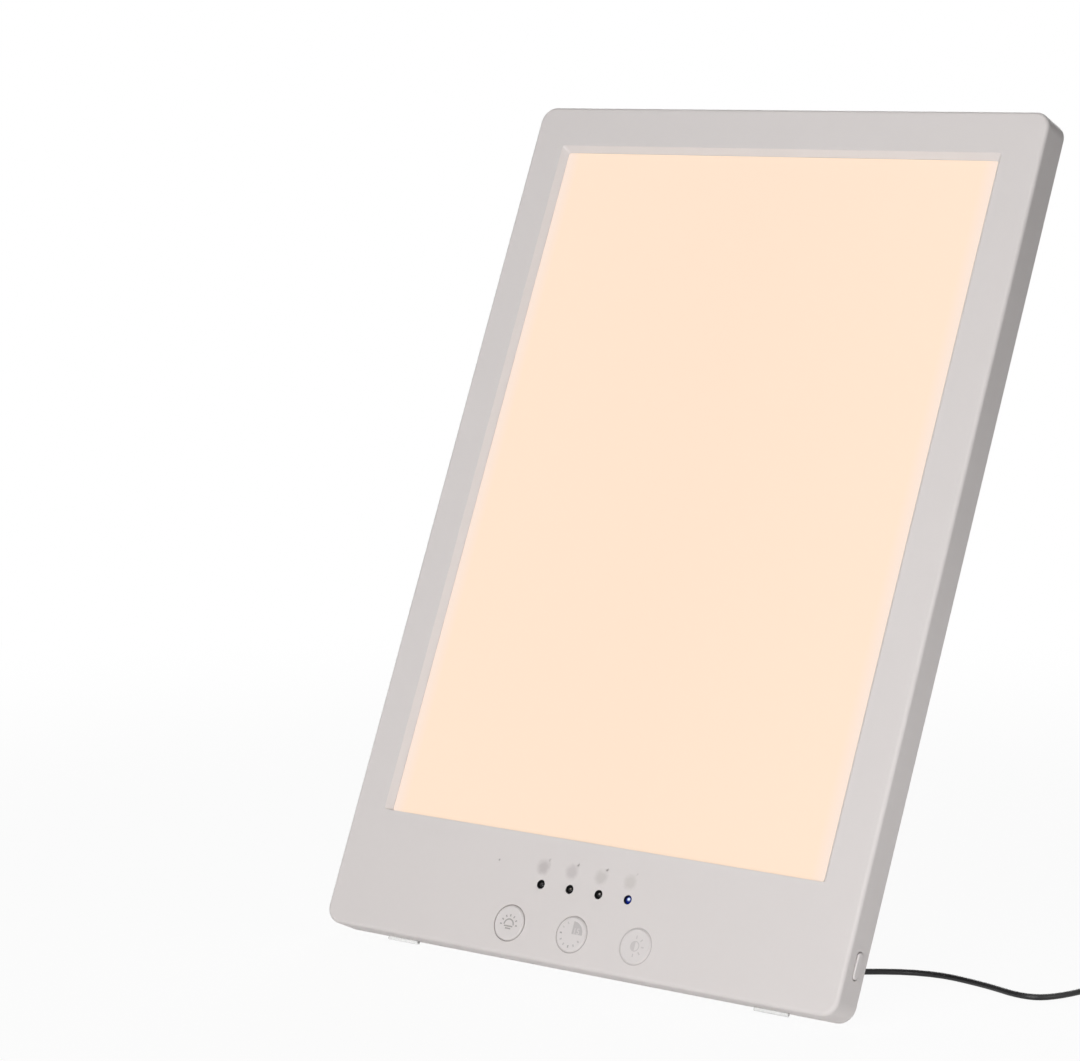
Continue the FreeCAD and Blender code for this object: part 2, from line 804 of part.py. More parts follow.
# ---- driver board with its parts and the power switch
board(
    "driver_board",
    driver_screws,
    "driver_at",
    "driver_thick",
    "(driver_from + driver_to) / 2",
    "driver_up",
    "driver_width",
    "driver_height",
)
coil_can = primitive("Cylinder", "inductor", Radius="inductor_wide / 2", Height="inductor_tall")
inductor = node(coil_can, "driver_inductor")
inductor_place = ("driver_from + inductor_in", "driver_at - inductor_tall", "driver_up + inductor_rise")
place(inductor, *inductor_place, **inwards)
cans = []
for k in range(2):
    can = primitive("Cylinder", "can", Radius="can_wide / 2", Height="can_tall")
    can_out = f"driver_from + can_in + {k} * can_pitch"
    place(can, can_out, "driver_at - can_tall", "driver_up + can_rise", **inwards)
    cans.append(can)
node(combined("Compound", "cans", cans), "driver_capacitors")
driver_ic = primitive(
    "Box", "driver_ic", Length="driver_chip_side", Width="driver_chip_tall", Height="driver_chip_side"
)
driver_chip = node(driver_ic, "driver_chip")
place(
    driver_chip,
    "driver_from + driver_chip_in",
    "driver_at - driver_chip_tall",
    "driver_up + driver_chip_rise",
)

power_case = primitive(
    "Box",
    "power_case",
    Length="power_switch_long",
    Width="2 * (driver_at - power_switch_depth)",
    Height="power_switch_side",
)
place(
    power_case,
    "power_switch_to - power_switch_long",
    "2 * power_switch_depth - driver_at",
    "power_up - power_switch_side / 2",
)
power_well = primitive(
    "Cylinder", "power_well", Radius="switch_hole / 2", Height="switch_sink + cut_over"
)
place(power_well, "power_switch_to - switch_sink", "power_switch_depth", "power_up", **rightwards)
node(combined("Cut", "power_switch", (power_case, power_well)), "power_switch")
power_plunger = node(
    primitive(
        "Cylinder", "power_plunger", Radius="plunger_wide / 2", Height="plunger_proud + plunger_seat"
    ),
    "power_plunger",
)
place(
    power_plunger,
    "power_switch_to - plunger_seat",
    "power_switch_depth",
    "power_up",
    **rightwards,
)

power_button = body("power_button")
for name, start, end, grow in (
    ("power_stem", "power_switch_to + plunger_proud", "power_flange_at", "-power_stem_thin"),
    ("power_flange", "power_flange_at", "power_flange_at + power_flange_thick", "2 * power_flange_rim"),
    ("power_cap", "power_flange_at + power_flange_thick", "panel_width / 2 + power_proud", "0"),
):
    drawn = sketch(power_button, name, start, "0", "0", "YZ_Plane")
    wide = f"(power_wide + {grow})"
    rounded(drawn, wide, f"power_long + {grow}", f"{wide} / 2 - round_short")
    power_pad = pad(power_button, drawn, f"{end} - ({start})")
cap_face = number("panel_width / 2 + power_proud")
dressed(
    power_button,
    power_pad,
    "Fillet",
    "power_edge",
    lambda ends: all(abs(p.x - cap_face) < 0.01 for p in ends),
)
place(power_button, "0", "power_depth", "power_up")

# ---- flat leads between the boards, to the light strips and to the jack
def flat_lead(label, points, at, thick, plane="XZ_Plane"):
    made = body(label)
    pad(made, outline(sketch(made, label + "_outline", plane=plane, **at), points), thick)
    place(made)
    return made


def lead_end(owner, x, y, z, width, height, reach):
    """A stub that goes on inwards from a flat lead to what it plugs into."""
    drawn = sketch(owner, owner.Label + "_end", x, y, z)
    pad(owner, rounded(drawn, width, height, "0.1"), reach)


bend = "driver_from - board_flex_bend"
control_back, driver_back = "board_at + board_thick", "driver_at + driver_thick"
flat_lead(
    "board_flex",
    [
        ("control_width / 2 - flex_grip", control_back),
        (f"{bend} + flex_thick", control_back),
        (f"{bend} + flex_thick", driver_back),
        ("driver_from + flex_grip", driver_back),
        ("driver_from + flex_grip", f"{driver_back} + flex_thick"),
        (bend, f"{driver_back} + flex_thick"),
        (bend, f"{control_back} + flex_thick"),
        ("control_width / 2 - flex_grip", f"{control_back} + flex_thick"),
    ],
    {"z": "control_up + control_height / 2 - flex_width"},
    "2 * flex_width",
    "XY_Plane",
)
strip_foot = "plate_mid - strip_length / 2"
turn_up = "(plate_base - rail_gap - rail_thick - strip_lead_drop)"
left_out = "driver_from + strip_lead_in"
left_flex = flat_lead(
    "strip_flex_left",
    [
        ("-strip_out", strip_foot),
        ("-strip_out", turn_up),
        (left_out, turn_up),
        (left_out, "driver_lead_up"),
        (f"{left_out} + flex_thick", "driver_lead_up"),
        (f"{left_out} + flex_thick", f"{turn_up} + flex_thick"),
        ("-strip_out + flex_thick", f"{turn_up} + flex_thick"),
        ("-strip_out + flex_thick", strip_foot),
    ],
    {"y": "flex_from"},
    "flex_width",
)
right_flex = flat_lead(
    "strip_flex_right",
    [
        ("strip_out", strip_foot),
        ("strip_out", "driver_lead_up"),
        ("strip_out - flex_thick", "driver_lead_up"),
        ("strip_out - flex_thick", strip_foot),
    ],
    {"y": "flex_from"},
    "flex_width",
)
tab_up, tab_long = "driver_lead_up + flex_tab / 2", "driver_at - reflector_back + cut_over"
for owner, out in ((left_flex, f"{left_out} + flex_thick / 2"), (right_flex, "strip_out - flex_thick / 2")):
    lead_end(owner, out, "reflector_back - cut_over", tab_up, "flex_thick", "flex_tab", tab_long)

wire_end = "driver_from + wire_in"
jack_wires = flat_lead(
    "jack_wires",
    [
        ("pod_out - wire_pair / 2", "jack_foot + wire_up"),
        ("pod_out - wire_pair / 2", "plate_base + wire_turn"),
        (wire_end, "driver_lead_up"),
        (f"{wire_end} + wire_pair", "driver_lead_up"),
        (f"{wire_end} + wire_pair", "driver_lead_up + wire_slant"),
        ("pod_out + wire_pair / 2", "plate_base + wire_turn + wire_slant"),
        ("pod_out + wire_pair / 2", "jack_foot + wire_up"),
    ],
    {"y": driver_back},
    "wire_thick",
)
wire_reach = f"jack_depth - jack_wide / 2 - ({driver_back})"
wire_tab_up = "jack_foot + wire_up + wire_tab / 2"
lead_end(jack_wires, "pod_out", driver_back, wire_tab_up, "wire_pair", "wire_tab", wire_reach)

# ---- back cover with the leg's recess, the hinge lugs and the jack housing
back_cover = body("back_cover")
pad(
    back_cover,
    rounded(
        sketch(back_cover, "cover_outline", y="cover_at", z="panel_height / 2"),
        "inner_width - 2 * cover_gap",
        "inner_height - 2 * cover_gap",
        "corner_round - side_wall - cover_gap",
    ),
    "cover_thick",
)
for name, half, low, high in (
    ("recess", "recess_half", "recess_low", "recess_high"),
    ("hinge_bay", "hinge_bay_half", "hinge_up - hinge_bay_rise", "recess_high"),
):
    tub_at = "recess_floor_at - recess_floor_thick"
    tub = sketch(back_cover, name + "_tub", y=tub_at, z=f"({low} + {high}) / 2")
    tall = f"{high} - ({low}) + 2 * recess_wall"
    rounded(tub, f"2 * ({half} + recess_wall)", tall, "recess_round + recess_wall")
    pad(back_cover, tub, f"cover_at - ({tub_at}) + weld")
for name, half, low, high in (
    ("recess", "recess_half", "recess_low", "recess_high"),
    ("hinge_bay", "hinge_bay_half", "hinge_up - hinge_bay_rise", "recess_high"),
):
    hollow = sketch(back_cover, name + "_hollow", y="recess_floor_at", z=f"({low} + {high}) / 2")
    rounded(hollow, f"2 * ({half})", f"{high} - ({low})", "recess_round")
    pocket(back_cover, hollow, "panel_depth")
scoop_place = ("recess_half", "panel_depth - scoop_depth", "recess_low + scoop_rise")
finger_scoop = sketch(back_cover, "finger_scoop", *scoop_place)
rounded(finger_scoop, "scoop_wide", "scoop_tall", "scoop_wide / 2 - round_short")
pocket(back_cover, finger_scoop, "scoop_depth + cut_over")

for side, name in ((-1, "left"), (1, "right")):
    from_x = "lug_at" if side == 1 else "-lug_at - lug_thick"
    lug = sketch(back_cover, f"{name}_lug", from_x, "0", "hinge_up", "YZ_Plane")
    outline(
        lug,
        [
            ("recess_floor_at - weld", "-lug_round"),
            ("hinge_depth", "-lug_round"),
            ("hinge_depth + lug_round * cos(45)", "-lug_round * cos(45)"),
            ("hinge_depth + lug_round", "0"),
            ("hinge_depth + lug_round * cos(45)", "lug_round * cos(45)"),
            ("hinge_depth", "lug_round"),
            ("recess_floor_at - weld", "lug_round"),
        ],
    )
    pad(back_cover, lug, "lug_thick")
pin_hole = circles(
    sketch(back_cover, "pin_hole", "pin_from + cut_over", "hinge_depth", "hinge_up", "YZ_Plane"),
    "pin_wide",
)
pocket(back_cover, pin_hole, "2 * (pin_from + cut_over)")

pod = sketch(back_cover, "pod", "pod_out", "cover_at", "pod_up + pod_tall / 2")
rounded(pod, "pod_wide", "pod_tall", "pod_round")
pod_pad = pad(back_cover, pod, "pod_back - cover_at")
pod_face = number("pod_back")
dressed(
    back_cover, pod_pad, "Fillet", "pod_edge", lambda ends: all(abs(p.y - pod_face) < 0.01 for p in ends)
)
pod_inside = sketch(back_cover, "pod_inside", "pod_out", "cover_at - cut_over", "jack_foot + jack_long / 2")
rounded(pod_inside, "jack_wide + 2 * jack_play", "jack_long + 2 * jack_play", "jack_play")
pocket(back_cover, pod_inside, "pod_back - pod_wall - cover_at + cut_over")
jack_hole = circles(
    sketch(back_cover, "jack_hole", "pod_out", "jack_depth", "jack_foot", "XY_Plane"),
    "jack_bore + 2 * jack_hole_gap",
)
pocket(back_cover, jack_hole, "pod_wall + jack_play + cut_over")

pocket(
    back_cover,
    circles(
        sketch(back_cover, "screw_holes", y="cover_at - cut_over"), "screw_shank + screw_clear", boss_places
    ),
    "cover_thick + 2 * cut_over",
)
pocket(
    back_cover,
    circles(
        sketch(back_cover, "screw_seats", y="screw_head_at"),
        "screw_head + screw_clear",
        boss_places,
    ),
    "screw_head_tall + screw_sunk + cut_over",
)
for side, name in ((-1, "left"), (1, "right")):
    rib_place = (f"{side} * (leg_width / 2 + rib_from_leg)", "reflector_back + rib_gap", "plate_mid")
    ribs = sketch(back_cover, f"{name}_rib", *rib_place)
    rounded(ribs, "rib_thick", "plate_height - rib_short", "rib_thick / 2 - round_short")
    pad(back_cover, ribs, "cover_at - reflector_back - rib_gap + weld")
vent_place = ("driver_from + vent_in", "cover_at - cut_over", "driver_up + driver_height / 2 + vent_rise")
vent = sketch(back_cover, "vent", *vent_place)
rounded(vent, "vent_width", "vent_length", "vent_width / 2 - round_short")
vent_cut = pocket(back_cover, vent, "cover_thick + 2 * cut_over")
doc.recompute()
vents = back_cover.newObject("PartDesign::LinearPattern", "vents")
vents.Originals = [vent_cut]
vents.Direction = (vent, ["H_Axis"])
vents.setExpression("Length", bound("vent_pitch * (vent_count - 1)"))
vents.setExpression("Occurrences", bound("vent_count"))
back_cover.Tip = vents
place(back_cover)

# ---- jack inside the housing
jack_case = primitive("Box", "jack_case", Length="jack_wide", Width="jack_wide", Height="jack_long")
place(jack_case, "pod_out - jack_wide / 2", "jack_depth - jack_wide / 2", "jack_foot")
jack_bore = primitive("Cylinder", "jack_bore", Radius="jack_bore / 2", Height="jack_bore_long + cut_over")
place(jack_bore, "pod_out", "jack_depth", "jack_foot - cut_over")
node(combined("Cut", "jack_body", (jack_case, jack_bore)), "dc_jack")
jack_rod = primitive("Cylinder", "jack_rod", Radius="jack_pin / 2", Height="jack_bore_long - jack_pin_sunk")
jack_pin = node(jack_rod, "jack_pin")
place(jack_pin, "pod_out", "jack_depth", "jack_foot + jack_pin_sunk")

# ---- leg, its hinge and its foot
leg_frame = bound(
    "front_frame.Placement"
    " * placement(vector(0; hinge_depth; hinge_up); rotation(vector(1; 0; 0); leg_open))"
)
stand_leg = body("stand_leg")
leg_plate = sketch(stand_leg, "leg_plate", y="leg_inner", z="leg_end / 2")
rounded(leg_plate, "leg_width", "-leg_end", "leg_round")
plate = pad(stand_leg, leg_plate, "leg_thick")
shoulder = sketch(stand_leg, "leg_shoulder", y="leg_inner", z="-leg_round")
rounded(shoulder, "leg_width", "2 * leg_round", "shoulder_round")
pad(stand_leg, shoulder, "leg_thick")
barrel = sketch(stand_leg, "leg_barrel", "-leg_width / 2", "0", "0", "YZ_Plane")
pad(stand_leg, circles(barrel, "barrel_wide"), "leg_width")
nose_up = "((hinge_depth - recess_floor_at - stop_gap - nose_in * cos(leg_open)) / sin(leg_open))"
nose = sketch(stand_leg, "stop_nose", "-leg_width / 2", "0", "0", "YZ_Plane")
nose_foot = [("-nose_in", "-nose_root"), ("nose_root", "-nose_root")]
outline(nose, nose_foot + [("nose_root", nose_up), ("-nose_in", nose_up)])
pad(stand_leg, nose, "leg_width")
tongue_size = ("foot_wide - 2 * tongue_side", "tongue_long + tongue_root", "tongue_round")
tongue = rounded(sketch(stand_leg, "tongue", y="tongue_depth", z="tongue_mid"), *tongue_size)
pad(stand_leg, tongue, "tongue_thick")
dish = sketch(stand_leg, "leg_dish", y="leg_outer - leg_dish", z="(leg_end - leg_hub) / 2")
rounded(
    dish,
    "leg_width - 2 * leg_border",
    "-leg_end - leg_hub - 2 * leg_border",
    "leg_round - leg_border / 2",
)
pocket(stand_leg, dish, "leg_dish + cut_over")
for k in range(3):
    cell = sketch(
        stand_leg,
        f"leg_cell_{k + 1}",
        y="leg_inner - cut_over",
        z=f"-leg_hub - leg_border / 2 + leg_free * ({k} + 0.5) / 3",
    )
    rounded(cell, "leg_width - 2 * leg_border", "-leg_free / 3 - leg_rib", "leg_cell_round")
    pocket(stand_leg, cell, "leg_cell_depth + cut_over")
leg_bore = sketch(stand_leg, "leg_bore", "leg_width / 2 + cut_over", "0", "0", "YZ_Plane")
pocket(stand_leg, circles(leg_bore, "pin_wide + 2 * pin_play"), "leg_width + 2 * cut_over")
place(stand_leg, frame=leg_frame)

stand_foot = body("stand_foot")
ground = "-(pivot_height + ({0}) * sin(tilt)) / cos(tilt)"
foot_in, foot_out = "leg_inner + foot_skin / 2", "leg_outer + foot_skin"
foot_profile = [
    (foot_in, "leg_end"),
    (foot_in, ground.format(foot_in)),
    (foot_out, ground.format(foot_out)),
    (foot_out, "leg_end"),
]
foot_pad = pad(
    stand_foot,
    outline(sketch(stand_foot, "foot_profile", "-foot_wide / 2", "0", "0", "YZ_Plane"), foot_profile),
    "foot_wide",
)
foot_slot = rounded(sketch(stand_foot, "foot_slot", y="tongue_depth", z="tongue_mid"), *tongue_size)
pocket(stand_foot, foot_slot, "tongue_thick")
place(stand_foot, frame=leg_frame)

for side, name in ((-1, "left"), (1, "right")):
    pin_long = "pin_from - leg_width / 2 + pin_in_leg"
    pin = primitive("Cylinder", f"{name}_pin", Radius="pin_wide / 2", Height=pin_long)
    pin_start = f"{side} * (pin_from - ({pin_long}) / 2) - ({pin_long}) / 2"
    place(node(pin, f"hinge_pin_{name}"), pin_start, "hinge_depth", "hinge_up", **rightwards)
    disc = primitive("Cylinder", f"{name}_disc", Radius="washer_wide / 2", Height="washer_thick")
    eye_long = "washer_thick + 2 * cut_over"
    eye = primitive("Cylinder", f"{name}_eye", Radius="pin_wide / 2 + pin_play", Height=eye_long)
    start = f"{side} * (leg_width / 2 + washer_play + washer_thick / 2) - washer_thick / 2"
    place(disc, start, "hinge_depth", "hinge_up", **rightwards)
    place(eye, f"{start} - cut_over", "hinge_depth", "hinge_up", **rightwards)
    node(combined("Cut", f"{name}_washer", (disc, eye)), f"hinge_washer_{name}")

# ---- rubber pads under the bottom edge, cut level with the table
ground_line = "((({0}) - panel_depth) * sin(lean) - foot_lift) / cos(lean)"
pad_corner = "panel_depth + (foot_lift - pad_drop * cos(lean)) / sin(lean)"
for side, name in ((-1, "left"), (1, "right")):
    base_pad = body(f"base_pad_{name}")
    pad_start = f"{side} * pad_out - pad_long / 2"
    profile = sketch(base_pad, f"{name}_pad_profile", pad_start, "0", "0", "YZ_Plane")
    outline(
        profile,
        [
            ("pad_to", "pad_sunk"),
            ("pad_from", "pad_sunk"),
            ("pad_from", "-pad_drop"),
            (pad_corner, "-pad_drop"),
            ("pad_to", ground_line.format("pad_to")),
        ],
    )
    pad_block = pad(base_pad, profile, "pad_long")
    ends = [number(f"{side} * pad_out + {k} * pad_long / 2") for k in (-1, 1)]
    dressed(
        base_pad,
        pad_block,
        "Fillet",
        "pad_round",
        lambda points: abs(points[0].x - points[1].x) < 0.01
        and abs(points[0].y - points[1].y) < 0.01
        and min(abs(points[0].x - end) for end in ends) < 0.01,
    )
    place(base_pad)

# ---- screws: a pan head and a shank, one group for the case and one for the boards
def screws(name, label, places, head_at, length):
    made = []
    for across, up in places:
        head = primitive("Cylinder", name + "_head", Radius="screw_head / 2", Height="screw_head_tall")
        place(head, across, head_at, up, **inwards)
        shank = primitive("Cylinder", name + "_shank", Radius="screw_shank / 2", Height=f"{length} + weld")
        place(shank, across, f"{head_at} - ({length})", up, **inwards)
        made.append(combined("MultiFuse", name, [head, shank]))
    return node(combined("Compound", name + "_group", made), label)


screws("case_screw", "case_screws", boss_places, "screw_head_at", "screw_length - screw_tip_gap")
screws("control_screw", "control_screws", control_screws, control_back, "board_screw_length")
screws("driver_screw", "driver_screws", driver_screws, driver_back, "board_screw_length")

# ---- plug in the jack, its strain relief and the free lead
in_pod = "placement(vector(pod_out; jack_depth; pod_up); rotation(vector(1; 0; 0); 0))"
plug_frame = bound(f"front_frame.Placement * {in_pod}")
barrel_long = "plug_barrel_long + plug_gap"
barrel_outer = primitive("Cylinder", "barrel_outer", Radius="plug_barrel / 2", Height=barrel_long)
barrel_bore = primitive(
    "Cylinder", "barrel_bore", Radius="plug_barrel_bore / 2", Height=f"{barrel_long} + 2 * cut_over"
)
place(barrel_outer, z="-plug_gap", frame=plug_frame)
place(barrel_bore, z="-plug_gap - cut_over", frame=plug_frame)
node(combined("Cut", "barrel", (barrel_outer, barrel_bore)), "plug_barrel")

plug_body = body("plug_body")
plug_profile = [
    ("0", "-plug_gap"),
    ("plug_body / 2", "-plug_gap"),
    ("plug_body / 2", "plug_end + plug_taper"),
    ("plug_neck / 2", "plug_end"),
    ("0", "plug_end"),
]
turned(plug_body, outline(sketch(plug_body, "plug_profile"), plug_profile))
place(plug_body, frame=plug_frame)
plug_relief = body("plug_relief")
relief_profile = [
    ("0", "plug_end"),
    ("plug_neck / 2 - relief_step", "plug_end"),
    ("relief_end / 2", "plug_end - plug_relief_long"),
    ("0", "plug_end - plug_relief_long"),
]
turned(plug_relief, outline(sketch(plug_relief, "relief_profile"), relief_profile))
place(plug_relief, frame=plug_frame)


def lead(label, points):
    """A plain tube along straight runs joined by tangent arcs."""
    corners = [Vector(*p) for p in points]
    edges, start = [], corners[0]
    for before, corner, after in zip(corners, corners[1:], corners[2:]):
        come, leave = corner - before, after - corner
        half = come.getAngle(leave) / 2
        reach = 0.45 * min(come.Length, leave.Length)
        radius = reach / math.tan(half)
        print(f"{label}: turn {math.degrees(2 * half):.0f} degrees, radius {radius:.1f}")
        into = corner - come.normalize() * reach
        out = corner + leave.normalize() * reach
        sagitta = radius * (1 / math.cos(half) - 1)
        middle = corner + ((into + out) * 0.5 - corner).normalize() * sagitta
        edges += [Part.LineSegment(start, into).toShape(), Part.Arc(into, middle, out).toShape()]
        start = out
    edges.append(Part.LineSegment(start, corners[-1]).toShape())
    path = Part.Wire(edges)
    radius = number("lead_wide / 2")
    section = Part.Wire(Part.Circle(corners[0], corners[1] - corners[0], radius).toShape())
    made = doc.addObject("Part::Feature", label)
    made.Shape = path.makePipeShell([section], True, True)
    share = made.Shape.Volume / (math.pi * radius**2 * path.Length)
    print(f"{label}: {path.Length:.1f} mm long, volume {share:.4f} of section times length")
    return node(made, label)


# from the strain relief down to the table, and along it to the coil
lead(
    "lead_run_plug",
    [
        (42, -41.42, 29.43),
        (42, -45, 21.4),
        (43.2, -48.3, 12.6),
        (48, -45.6, 5),
        (55.5, -37, 1.4),
        (61.5, -20, 1.2),
        (69.5, -4.5, 1.2),
        (94, 13.7, 1.2),
        (119, 10.7, 1.2),
        (136, 5, 1.2),
        (145, 9.2, 1.2),
        (151, 28.5, 1.4),
        (150.65, 47.2, 1.8),
    ],
)
# from the coil's top turn to the adapter
lead("lead_run_adapter", [(150.65, 47.2, 8.55), (150.2, 58.6, 8.8), (150.65, 70, 9.5)])

ring = primitive("Cylinder", "coil_ring", Radius="coil_outer", Height="coil_tall")
ring_eye = primitive("Cylinder", "coil_eye", Radius="coil_inner", Height="coil_tall + 2 * cut_over")
place(ring, "coil_across", "coil_back", "coil_low", frame="")
place(ring_eye, "coil_across", "coil_back", "coil_low - cut_over", frame="")
node(combined("Cut", "coil_cut", (ring, ring_eye)), "lead_coil")

tie = body("lead_tie")
tie_from = "sqrt(coil_inner * coil_inner - tie_wide * tie_wide / 4) - tie_play"
tie_middle = f"({tie_from} + coil_outer + tie_play) / 2"
tie_across = f"(coil_outer + tie_play - ({tie_from}))"
tie_outer = sketch(tie, "tie_outer", tie_middle, "0", "coil_low + coil_tall / 2")
rounded(tie_outer, f"{tie_across} + 2 * tie_thick", "coil_tall + 2 * tie_thick", "tie_thick")
pad(tie, tie_outer, "tie_wide")
tie_inner = sketch(tie, "tie_inner", tie_middle, "-cut_over", "coil_low + coil_tall / 2")
rounded(tie_inner, tie_across, "coil_tall", "tie_play")
pocket(tie, tie_inner, "tie_wide + 2 * cut_over")
place(tie, "coil_across", "coil_back - tie_wide / 2", "0", frame="")

# ---- wall adapter, lying on the table behind the coil
adapter_at = ("adapter_across", "adapter_from + adapter_relief_long")
for label, low_at, tall in (
    ("adapter_base", "0", "adapter_split"),
    ("adapter_lid", "adapter_split", "adapter_tall - adapter_split"),
):
    shell = body(label)
    drawn = sketch(shell, label + "_outline", "0", "adapter_long / 2", low_at, "XY_Plane")
    rounded(drawn, "adapter_wide", "adapter_long", "adapter_round")
    shell_pad = pad(shell, drawn, tall)
    edge_at = number("0" if label == "adapter_base" else "adapter_tall")
    seam_at = number("adapter_split")
    eased = dressed(
        shell, shell_pad, "Fillet", "adapter_edge", lambda ends: all(abs(p.z - edge_at) < 0.01 for p in ends)
    )
    dressed(
        shell, eased, "Chamfer", "adapter_seam", lambda ends: all(abs(p.z - seam_at) < 0.01 for p in ends)
    )
    if label == "adapter_lid":
        plate_at = ("0", "adapter_long / 2", "adapter_tall + cut_over")
        blank_plate = sketch(shell, "blank_plate", *plate_at, "XY_Plane")
        rounded(blank_plate, "adapter_plate_wide", "adapter_plate_long", "adapter_plate_round")
        pocket(shell, blank_plate, "adapter_plate_deep + cut_over")
    place(shell, *adapter_at, frame="")
# two flat blades with tapered tips and a hole through each
blade_profile = [
    ("0", "-blade_wide / 2"),
    ("blade_long - blade_tip", "-blade_wide / 2"),
    ("blade_long", "blade_tip - blade_wide / 2"),
    ("blade_long", "blade_wide / 2 - blade_tip"),
    ("blade_long - blade_tip", "blade_wide / 2"),
    ("0", "blade_wide / 2"),
]
blades = []
tip_at = number("blade_long")
for side in (-1, 1):
    blade = doc.addObject("PartDesign::Body", "blade")
    drawn = outline(sketch(blade, "blade_outline", "-blade_thick / 2", "0", "0", "YZ_Plane"), blade_profile)
    circles(drawn, "blade_hole", [("blade_hole_at", "0")])
    blade_pad = pad(blade, drawn, "blade_thick")
    dressed(
        blade,
        blade_pad,
        "Chamfer",
        "blade_bevel",
        lambda ends: all(abs(p.y - tip_at) < 0.01 for p in ends) and abs(ends[0].x - ends[-1].x) < 0.01,
    )
    root = (
        f"{adapter_at[0]} + {side} * blade_pitch / 2",
        f"{adapter_at[1]} + adapter_long",
        "adapter_split",
    )
    place(blade, *root, frame="")
    blades.append(blade)
node(combined("Compound", "blades", blades), "adapter_blades")
adapter_relief = body("adapter_relief")
profile = [
    ("0", "0"),
    ("relief_end / 2", "0"),
    ("adapter_relief_wide / 2", "adapter_relief_long"),
    ("0", "adapter_relief_long"),
]
turned(adapter_relief, outline(sketch(adapter_relief, "adapter_relief_profile", plane="XY_Plane"), profile))
place(adapter_relief, "adapter_across", "adapter_from", "adapter_lead_up", frame="")

doc.recompute()

# ---- every object has to be sound before anything is written
for thing in doc.Objects:
    if {"Invalid", "Error"} & set(thing.State):
        raise RuntimeError(f"{thing.Name} failed: {thing.State}")
for thing in nodes:
    if thing.Shape.isNull() or not thing.Shape.isValid() or not thing.Shape.Solids:
        raise RuntimeError(f"{thing.Label} has no valid shape")

os.makedirs("parts", exist_ok=True)
for thing in nodes:
    thing.Shape.exportStep(f"parts/{thing.Label}.step")
    print(f"{thing.Label}: {len(thing.Shape.Solids)} solid, {thing.Shape.Volume:.0f} mm3")
print(len(nodes), "nodes")
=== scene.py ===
import json
import math

import bmesh
import bpy
from mathutils import Matrix, Vector


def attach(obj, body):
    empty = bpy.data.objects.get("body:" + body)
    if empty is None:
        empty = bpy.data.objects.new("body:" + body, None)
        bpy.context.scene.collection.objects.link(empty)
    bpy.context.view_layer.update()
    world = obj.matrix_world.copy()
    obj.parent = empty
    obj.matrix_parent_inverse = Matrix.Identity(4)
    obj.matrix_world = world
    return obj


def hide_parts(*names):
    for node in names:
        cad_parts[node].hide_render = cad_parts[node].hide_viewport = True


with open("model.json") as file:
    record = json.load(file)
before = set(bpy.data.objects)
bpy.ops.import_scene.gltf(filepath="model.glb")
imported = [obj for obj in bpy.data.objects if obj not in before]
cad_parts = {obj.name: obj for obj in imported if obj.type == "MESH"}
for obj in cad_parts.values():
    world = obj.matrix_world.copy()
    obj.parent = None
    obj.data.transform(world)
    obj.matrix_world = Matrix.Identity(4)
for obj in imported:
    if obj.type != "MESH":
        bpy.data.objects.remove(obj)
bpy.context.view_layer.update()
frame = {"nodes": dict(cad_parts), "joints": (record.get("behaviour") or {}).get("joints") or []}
scene = bpy.context.scene
nodes = frame["nodes"]
joints = {joint["name"]: joint for joint in frame["joints"]}
mm = 0.001

# the panel's own directions: x across, y inwards from its front face and z up along it
panel = {
    "lean": math.radians(24),
    "depth": 12 * mm,
    "hingeUp": 190 * mm,
    "hingeDepth": 11.3 * mm,
    "legOpen": math.radians(35),
}
turn = Matrix.Rotation(-panel["lean"], 4, "X")
hinge = Vector(joints["stand_hinge"]["pos_m"])
hingeOnPanel = Vector((0, panel["hingeDepth"], panel["hingeUp"]))
onPanel = Matrix.Translation(hinge - turn @ hingeOnPanel) @ turn
onLeg = onPanel @ Matrix.Translation(hingeOnPanel) @ Matrix.Rotation(panel["legOpen"], 4, "X")
quarter = math.pi / 2
# x across, y up the panel and z out of its front, and the same with y down and z out of its back
onFace = onPanel @ Matrix.Rotation(quarter, 4, "X")
onBack = onPanel @ Matrix.Rotation(-quarter, 4, "X")

cameraSettings = {
    "at": (0.7313, -1.02078, 0.3130),
    "down": math.radians(7.42),
    "round": math.radians(38.0),
    "lens": 118.83,
    "sensor": 36,
    "farthest": 20,
}
cameraData = bpy.data.cameras.new("camera")
cameraData.lens = cameraSettings["lens"]
cameraData.sensor_width = cameraSettings["sensor"]
cameraData.clip_end = cameraSettings["farthest"]
camera = bpy.data.objects.new("camera", cameraData)
camera.location = cameraSettings["at"]
camera.rotation_euler = (quarter - cameraSettings["down"], 0, cameraSettings["round"])
scene.collection.objects.link(camera)
scene.camera = camera
print("camera")

# the lead from the plug to the coil, round the coil and on to the adapter
lead = {
    "wide": 2.2 * mm,
    "long": 1.42,
    "coilAt": (166, 47.2),
    "radii": (15.35, 13.1, 10.85, 8.6),
    "layers": (1.8, 4.05, 6.3, 8.55),
    "pointsPerTurn": 16,
    "climb": (260, 294),  # where in a turn it climbs to the next layer, in degrees
    "step": (294, 328),  # and where it steps to the next turn
    "outermost": 17.6,
}
